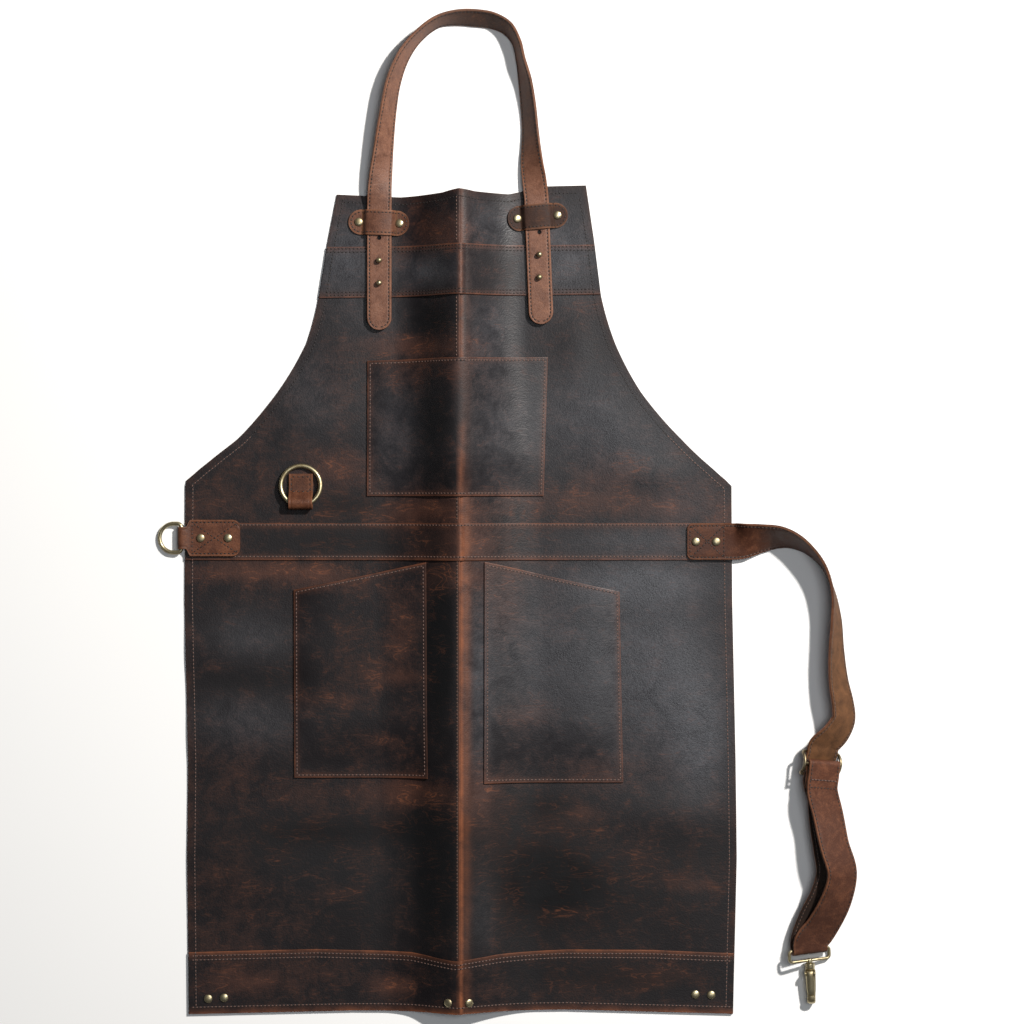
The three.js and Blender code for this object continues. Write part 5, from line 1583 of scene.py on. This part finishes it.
# %% [markdown]
# ## The hook's gate
# The gate is a small sprung lever that closes the hook's mouth and turns on the pin. It is drawn out row by
# row like the body. A Boolean drills its bore wider than the pin, so that it turns freely without touching.

# %% Hook gate
GATE_ROWS = (  # along, out, half thickness, half width
    (10.4, 5.0, 1.3, 3.4), (11.2, 5.0, 2.2, 4.0), (13, 5.0, 2.7, 4.2), (15, 5.2, 2.5, 4.2),
    (18, 5.4, 2.1, 4.2), (24, 5.5, 1.8, 4.1), (30, 5.5, 1.6, 3.9), (35.2, 5.45, 1.5, 3.5),
    (35.55, 5.45, 1.3, 3.2),
)
GATE_BORE = 1.5
hook_gate = drawn_bar("hook_gate_brass", GATE_ROWS, 20)
close_edit(hook_gate, 40)
hook_gate.data.materials.append(ANTIQUE_BRASS)
bpy.ops.mesh.primitive_cylinder_add(vertices=20, radius=GATE_BORE * MM, depth=0.02,
                                    location=(EAR_X * MM, EAR_Y * MM, 0))
cut_away(hook_gate, bpy.context.object, 40)
move_to(hook_gate, HOOK_PLACE, HOOK_TURN)
dress(hook_gate, "hook_gate", "hook_gate")
print(hook_gate.name, len(hook_gate.data.polygons), "faces")

# %% [markdown]
# ## Thread and one stitch
# Every seam is sewn with a thick waxed thread, a stitch to about 3.9 mm. A bevelled curve could run along
# each seam, but a sewn row shows short separate humps. So one stitch is modelled, a small sphere drawn out
# to a lens and cut flat underneath, and its points are kept to be set again and again.

# %% Thread and one stitch
STITCH_PITCH = 3.9
STITCH_HALF = (1.4, 0.65, 0.45)
STITCH_SINK = 0.16


def thread_material(name, colour):
    material, tree, shader, place = new_material(name)
    strands = use_group(tree, GRAIN, {"Vector": place, "Size": 2400.0})
    worn = blend_colours(tree, remap(tree, strands["Height"], 0.4, 1.2), colour, darker(colour, 0.55))
    tree.links.new(worn, shader.inputs["Base Color"])
    shader.inputs["Roughness"].default_value = 0.55
    return material


TAN_THREAD = thread_material("tan_thread", (0.16, 0.088, 0.07, 1))
BROWN_THREAD = thread_material("brown_thread", (0.11, 0.055, 0.038, 1))
DARK_THREAD = thread_material("dark_thread", (0.011, 0.006, 0.005, 1))
# A near-black finish that is painted shade for the awl holes.
PAINTED_HOLE_SHADE = thread_material("painted_hole_shade", (0.0025, 0.0018, 0.0015, 1))

bpy.ops.mesh.primitive_uv_sphere_add(segments=6, ring_count=4, radius=MM)
stitch = bpy.context.object
open_edit(stitch)
bpy.ops.transform.rotate(value=math.radians(90), orient_axis="Y", center_override=(0, 0, 0))
bpy.ops.transform.resize(value=STITCH_HALF, center_override=(0, 0, 0))
bpy.ops.mesh.select_all(action="SELECT")
bpy.ops.mesh.bisect(plane_co=(0, 0, -STITCH_SINK * MM), plane_no=(0, 0, -1), use_fill=True,
                    clear_outer=True)
close_edit(stitch, 60)
STITCH_POINTS = np.array([vertex.co for vertex in stitch.data.vertices]) / MM
STITCH_FACES = [tuple(face.vertices) for face in stitch.data.polygons]
bpy.data.objects.remove(stitch)
print("one stitch:", len(STITCH_FACES), "faces")

# %% [markdown]
# ## How a row is sewn
# A sewing machine makes even stitches whatever way the seam runs. A row is a line of points on a surface
# with the surface's normals. Its length is measured first, then cut into even steps, and each stitch gets
# its own directions along, across and up. The Array modifier with a curve would do this for one row, but
# here one function serves every row, and the rows are kept by the colour of their thread.

# %% Rows of stitches
SEWN = {}
LOOK_AHEAD = 0.8


def sew(group, points, normals, keep=None):
    """Cut a line of points into stitches and add them to a group; keep marks the points that are sewn."""
    points, normals = np.asarray(points, float), np.asarray(normals, float)
    run = np.append(0, np.cumsum(np.linalg.norm(np.diff(points, axis=0), axis=1)))
    count = int(run[-1] / STITCH_PITCH)
    at = (np.arange(count) + 0.5) * run[-1] / max(count, 1)
    spots = np.column_stack([np.interp(at, run, column) for column in points.T])
    ahead = np.column_stack([np.interp(at + LOOK_AHEAD, run, column) for column in points.T])
    behind = np.column_stack([np.interp(at - LOOK_AHEAD, run, column) for column in points.T])
    up = unit(np.column_stack([np.interp(at, run, column) for column in normals.T]))
    along = unit(ahead - behind)
    across = unit(np.cross(up, along))
    chosen = np.ones(count, bool) if keep is None else np.interp(at, run, keep.astype(float)) > 0.5
    row = spots, along, across, np.cross(along, across)
    SEWN.setdefault(group, []).append([part[chosen] for part in row])


def sewn_so_far():
    return {group: sum(len(row[0]) for row in rows) for group, rows in SEWN.items()}


def front_height(x, y):
    """Height of the apron's uppermost sewn layer: the panel, or a band over it."""
    height = BODY_WALL + np.where(x <= 0, lap_step(x), 0)
    for name in BANDS:
        low, high = band_edges(name, x)
        height = np.where((y >= low) & (y <= high), trim_base(x) + TRIM_WALL, height)
    return height


def sew_front(group, x, y, height=None, keep=None):
    x, y = np.broadcast_arrays(np.asarray(x, float), np.asarray(y, float))
    height = front_height(x, y) if height is None else height
    sew(group, on_apron(x, y, height), up_at(x, y), keep)


# %% [markdown]
# ## Seams of the body
# One row runs just inside the cut edge, up both sides and along the top, and one down the lapped seam. The
# edge row is set in square to the edge: in the hollow armhole that is a circle with a larger radius, not
# the edge moved sideways. Tan thread is used on the skirt and dark thread on the bib. Where a band or
# pocket covers the seam, its row stops.

# %% Seams of the body
EDGE_ROW = 7.8
SEAM_ROW = -2.4
WING_Y = 600
ARM_ROW_FROM = SHOULDER_Y - 60
tall = np.linspace(6, 846, 600)


def inset_half_width(y, side, inset):
    """Half the body's width at a row that is set in square to the edge."""
    edge_y = y + inset * (ARM_Y - y) / ARM_RADIUS
    arm = ARM_X - np.sqrt(np.maximum((ARM_RADIUS + inset) ** 2 - (y - ARM_Y) ** 2, 0))
    arm = arm + np.interp(edge_y, SWAY_Y, SWAY[side])
    sway = np.interp(y, SWAY_Y, SWAY[side])
    bib = np.interp(y, (BIB_FOOT_Y, BIB_TOP_Y), (BIB_FOOT_HALF, BIB_TOP_HALF)) - inset + sway
    skirt = HALF_WIDTH - inset + sway
    drawn = np.where(y >= BIB_FOOT_Y, bib, np.minimum(arm, skirt))
    return np.where(y < ARM_ROW_FROM, skirt, drawn)


for side in (-1, 1):
    edge_x = side * inset_half_width(tall, side, EDGE_ROW)
    sew_front("tan", edge_x, tall, keep=tall < WING_Y)
    sew_front("dark", edge_x, tall, keep=tall >= WING_Y)
    wide = np.linspace(-1.2, side * (BIB_TOP_HALF - EDGE_ROW), 120)
    sew_front("dark", wide, np.interp(wide, TOP_X, TOP_AT) - EDGE_ROW)

covered = np.zeros(len(tall), bool)
seam_x = np.full(len(tall), SEAM_ROW)
for name in BANDS:
    low, high = band_edges(name, seam_x)
    covered |= (tall > low - 1) & (tall < high + 1)
covered |= (tall > POCKETS["chest_pocket"][2] - 1) & (tall < POCKETS["chest_pocket"][3][0] + 3)
sew_front("brown", seam_x, tall, keep=~covered)
print("seams of the body:", sewn_so_far())

# %% [markdown]
# ## Rows on the bands and pockets
# The bands are sewn along both long edges, some of them twice, and the pockets just inside all four
# edges. The rows could be drawn by hand on the surface with snapping, but the functions that shaped the
# sheets also say where a row lies, so it can neither sink in nor float.

# %% Rows on bands and pockets
BAND_ROWS = {  # distances in from the lower edge and from the upper edge
    "chest_band": ((2.3, 5.4), (2.1, 5.6)),
    "waist_band": ((3.8,), (2.0,)),
    "hem_band": ((7.0,), (4.0, 8.2)),
}
for name, (from_low, from_high) in BAND_ROWS.items():
    middle = float(np.mean(band_edges(name, np.array(0.0))))
    x = np.linspace(-float(half_width(middle, -1)) + 3, float(half_width(middle, 1)) - 3, 500)
    low, high = band_edges(name, x)
    thread = "dark" if name == "chest_band" else "tan"
    for row in [low + inset for inset in from_low] + [high - inset for inset in from_high]:
        sew_front(thread, x, row, trim_base(x) + TRIM_WALL)

POCKET_ROW = 3.0
for name, (foot_sides, _, foot, mouth, _) in POCKETS.items():
    wide, tall_side = foot_sides[1] - foot_sides[0], sum(mouth) / 2 - foot
    near, low = POCKET_ROW / wide, POCKET_ROW / tall_side
    across, up = np.linspace(near, 1 - near, 200), np.linspace(low, 1 - low, 200)
    for side, part in ((across, low), (across, 1 - low), (near, up), (1 - near, up)):
        side, part = np.broadcast_arrays(np.asarray(side, float), np.asarray(part, float))
        sew_front("tan", *pocket_point(name, side, part))
print("with bands and pockets:", sewn_so_far())

# %% [markdown]
# ## Rows on the straps, tabs and keepers
# A strap is sewn along both edges, and where it turns over the row shows on its other face too. The
# stations of a narrower strap are the row's line, so nothing new is measured. The riveted end and the
# side tab have a sewn cross, the tail two short rows below the slider, and the ring's tab a row round its
# upper layer.

# %% Rows on straps, tabs and keepers
STRAP_ROW = 2.7
BEND_STATIONS = 5
CROSS_END_X = 273.4
TAIL_ROWS, TAIL_RISE = {16: "tan", 24: "dark"}, 0.7
SIDE_CROSS_X, SIDE_CROSS_HALF, SIDE_ROW_X = (12, 57), 15, 11
ROW_POINTS = 30


def sew_strap(group, centres, sides, widths, faces=(1,), wall=STRAP_WALL):
    """Rows along both edges of a strap, on its upper face or on both faces."""
    _, across, face = strap_axes(centres, sides)
    for edge in (-0.5, 0.5):
        line = centres + across * (edge * widths)[:, None]
        for up in faces:
            sew(group, line + face * (up * wall / 2), face * up)


def sew_flat(group, x, y, height):
    x, y = np.asarray(x, float), np.asarray(y, float)
    points = np.column_stack([x, y, np.full(len(x), height)])
    sew(group, points, np.tile((0.0, 0.0, 1.0), (len(x), 1)))


sew_strap("dark", *neck_stations(STRAP_ROW), (1, -1))
end, out, _, back, _, _ = waist_parts(STRAP_ROW)
inner = WAIST_WIDTH - 2 * STRAP_ROW
sew_strap("dark", *end)
sew_strap("brown", *out, np.full(len(out[0]), inner), (1, -1))
sew_strap("dark", *(part[BEND_STATIONS:] for part in back), np.full(len(back[0]) - BEND_STATIONS, inner))

left, right = WAIST_END[0] + STRAP_ROW + 1, CROSS_END_X
low, high = WAIST_END[1] - inner / 2, WAIST_END[1] + inner / 2
top = WAIST_LIFT + STRAP_WALL
for x, y in (((left, right), (low, high)), ((left, right), (high, low)), ((right, right), (low, high)),
             ((left - 1, left - 1), (low + 4, high - 4))):
    sew_flat("dark", np.linspace(*x, ROW_POINTS), np.linspace(*y, ROW_POINTS), top)
for along, thread in TAIL_ROWS.items():
    row, sides = in_frame(SLIDER_FRAME, ((along, SLIDER_WIRE + BAR_CLEAR + STRAP_WALL + TAIL_RISE),))
    line = row + np.linspace(-inner / 2, inner / 2, ROW_POINTS)[:, None] * sides
    sew(thread, line, np.tile(SLIDER_FRAME[3], (ROW_POINTS, 1)))

tab_x = np.linspace(9.5, SIDE_TAB_LONG - STRAP_ROW - 0.1, 90)
half = side_tab_half(tab_x, STRAP_ROW)
cross_y = np.linspace(-SIDE_CROSS_HALF, SIDE_CROSS_HALF, ROW_POINTS)
top = ON_BAND + UPPER_LAYER + LAYER / 2
for edge in (-1, 1):
    sew_flat("dark", SIDE_X + tab_x, SIDE_Y + edge * half, top)
    sew_flat("dark", SIDE_X + np.linspace(*SIDE_CROSS_X, ROW_POINTS), SIDE_Y + edge * cross_y, top)
sew_flat("dark", np.full(ROW_POINTS, SIDE_X + SIDE_ROW_X), SIDE_Y + cross_y, top)

RING_ROW_TOP, RING_ROW_FOOT = 28, 11.5
up = ring_centres[:, 1] - TOWEL_Y
upper = slice(np.argmax(up <= RING_ROW_TOP), np.argmax(up < RING_ROW_FOOT))
centres, sides = ring_centres[upper], ring_sides[upper]
reach = RING_TAB_WIDE - 2 * STRAP_ROW
sew_strap("dark", centres, sides, np.full(len(centres), reach), wall=LAYER)
_, across, face = strap_axes(centres, sides)
for place in (0, -1):
    middle = centres[place] + face[place] * LAYER / 2
    line = middle + np.linspace(-reach / 2, reach / 2, ROW_POINTS)[:, None] * across[place]
    sew("dark", line, np.tile(face[place], (ROW_POINTS, 1)))

for name in KEEPERS:
    along = np.cos(np.radians(np.linspace(0, 360, 400))) * (KEEPER_LONG / 2 - STRAP_ROW - 0.01)
    out = np.where(np.arange(400) < 200, 1, -1) * keeper_half(along, STRAP_ROW)
    x, y = keeper_place(name, along, out)
    sew("dark", on_apron(x, y, keeper_height(along)), up_at(x, y))
print("with straps, tabs and keepers:", sewn_so_far())

# %% [markdown]
# ## The stitches as meshes
# Thousands of objects would be slow to handle, so all stitches of one thread become one mesh: the kept
# points are turned by each stitch's three directions and moved to its place. Between two stitches the awl
# has left a hole; it isn't cut, and its shade is painted as a near-black copy of the same lens, made small
# and flat and moved on by half a step. On the dark rows that painted shade wouldn't be seen.

# %% All stitches as joined meshes
HOLE_SHARE = (0.5, 1.25, 0.35)


def set_lenses(name, rows, shares, forward, material):
    """Copies of the stitch, resized by shares and moved forward, at every place of the rows."""
    spots, along, across, up = (np.vstack(each) for each in zip(*rows))
    axes = np.stack([along, across, up], axis=1)
    points = (spots + along * forward)[:, None] + (STITCH_POINTS * shares) @ axes
    count = len(STITCH_POINTS)
    faces = [[index + i * count for index in face] for i in range(len(spots)) for face in STITCH_FACES]
    piece = new_piece(name, points.reshape(-1, 3), faces, material)
    apply_all(piece, 60)
    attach(piece, "apron")
    print(piece.name, len(spots))


for group, material in (("tan", TAN_THREAD), ("brown", BROWN_THREAD), ("dark", DARK_THREAD)):
    set_lenses(group + "_stitches", SEWN[group], (1, 1, 1), 0, material)
    # Painted shade of the awl holes, half a step on from each stitch, on the lighter rows.
    if group != "dark":
        set_lenses(group + "_painted_hole_shades", SEWN[group], HOLE_SHARE, STITCH_PITCH / 2, PAINTED_HOLE_SHADE)

# %% Update the view layer
bpy.context.view_layer.update()
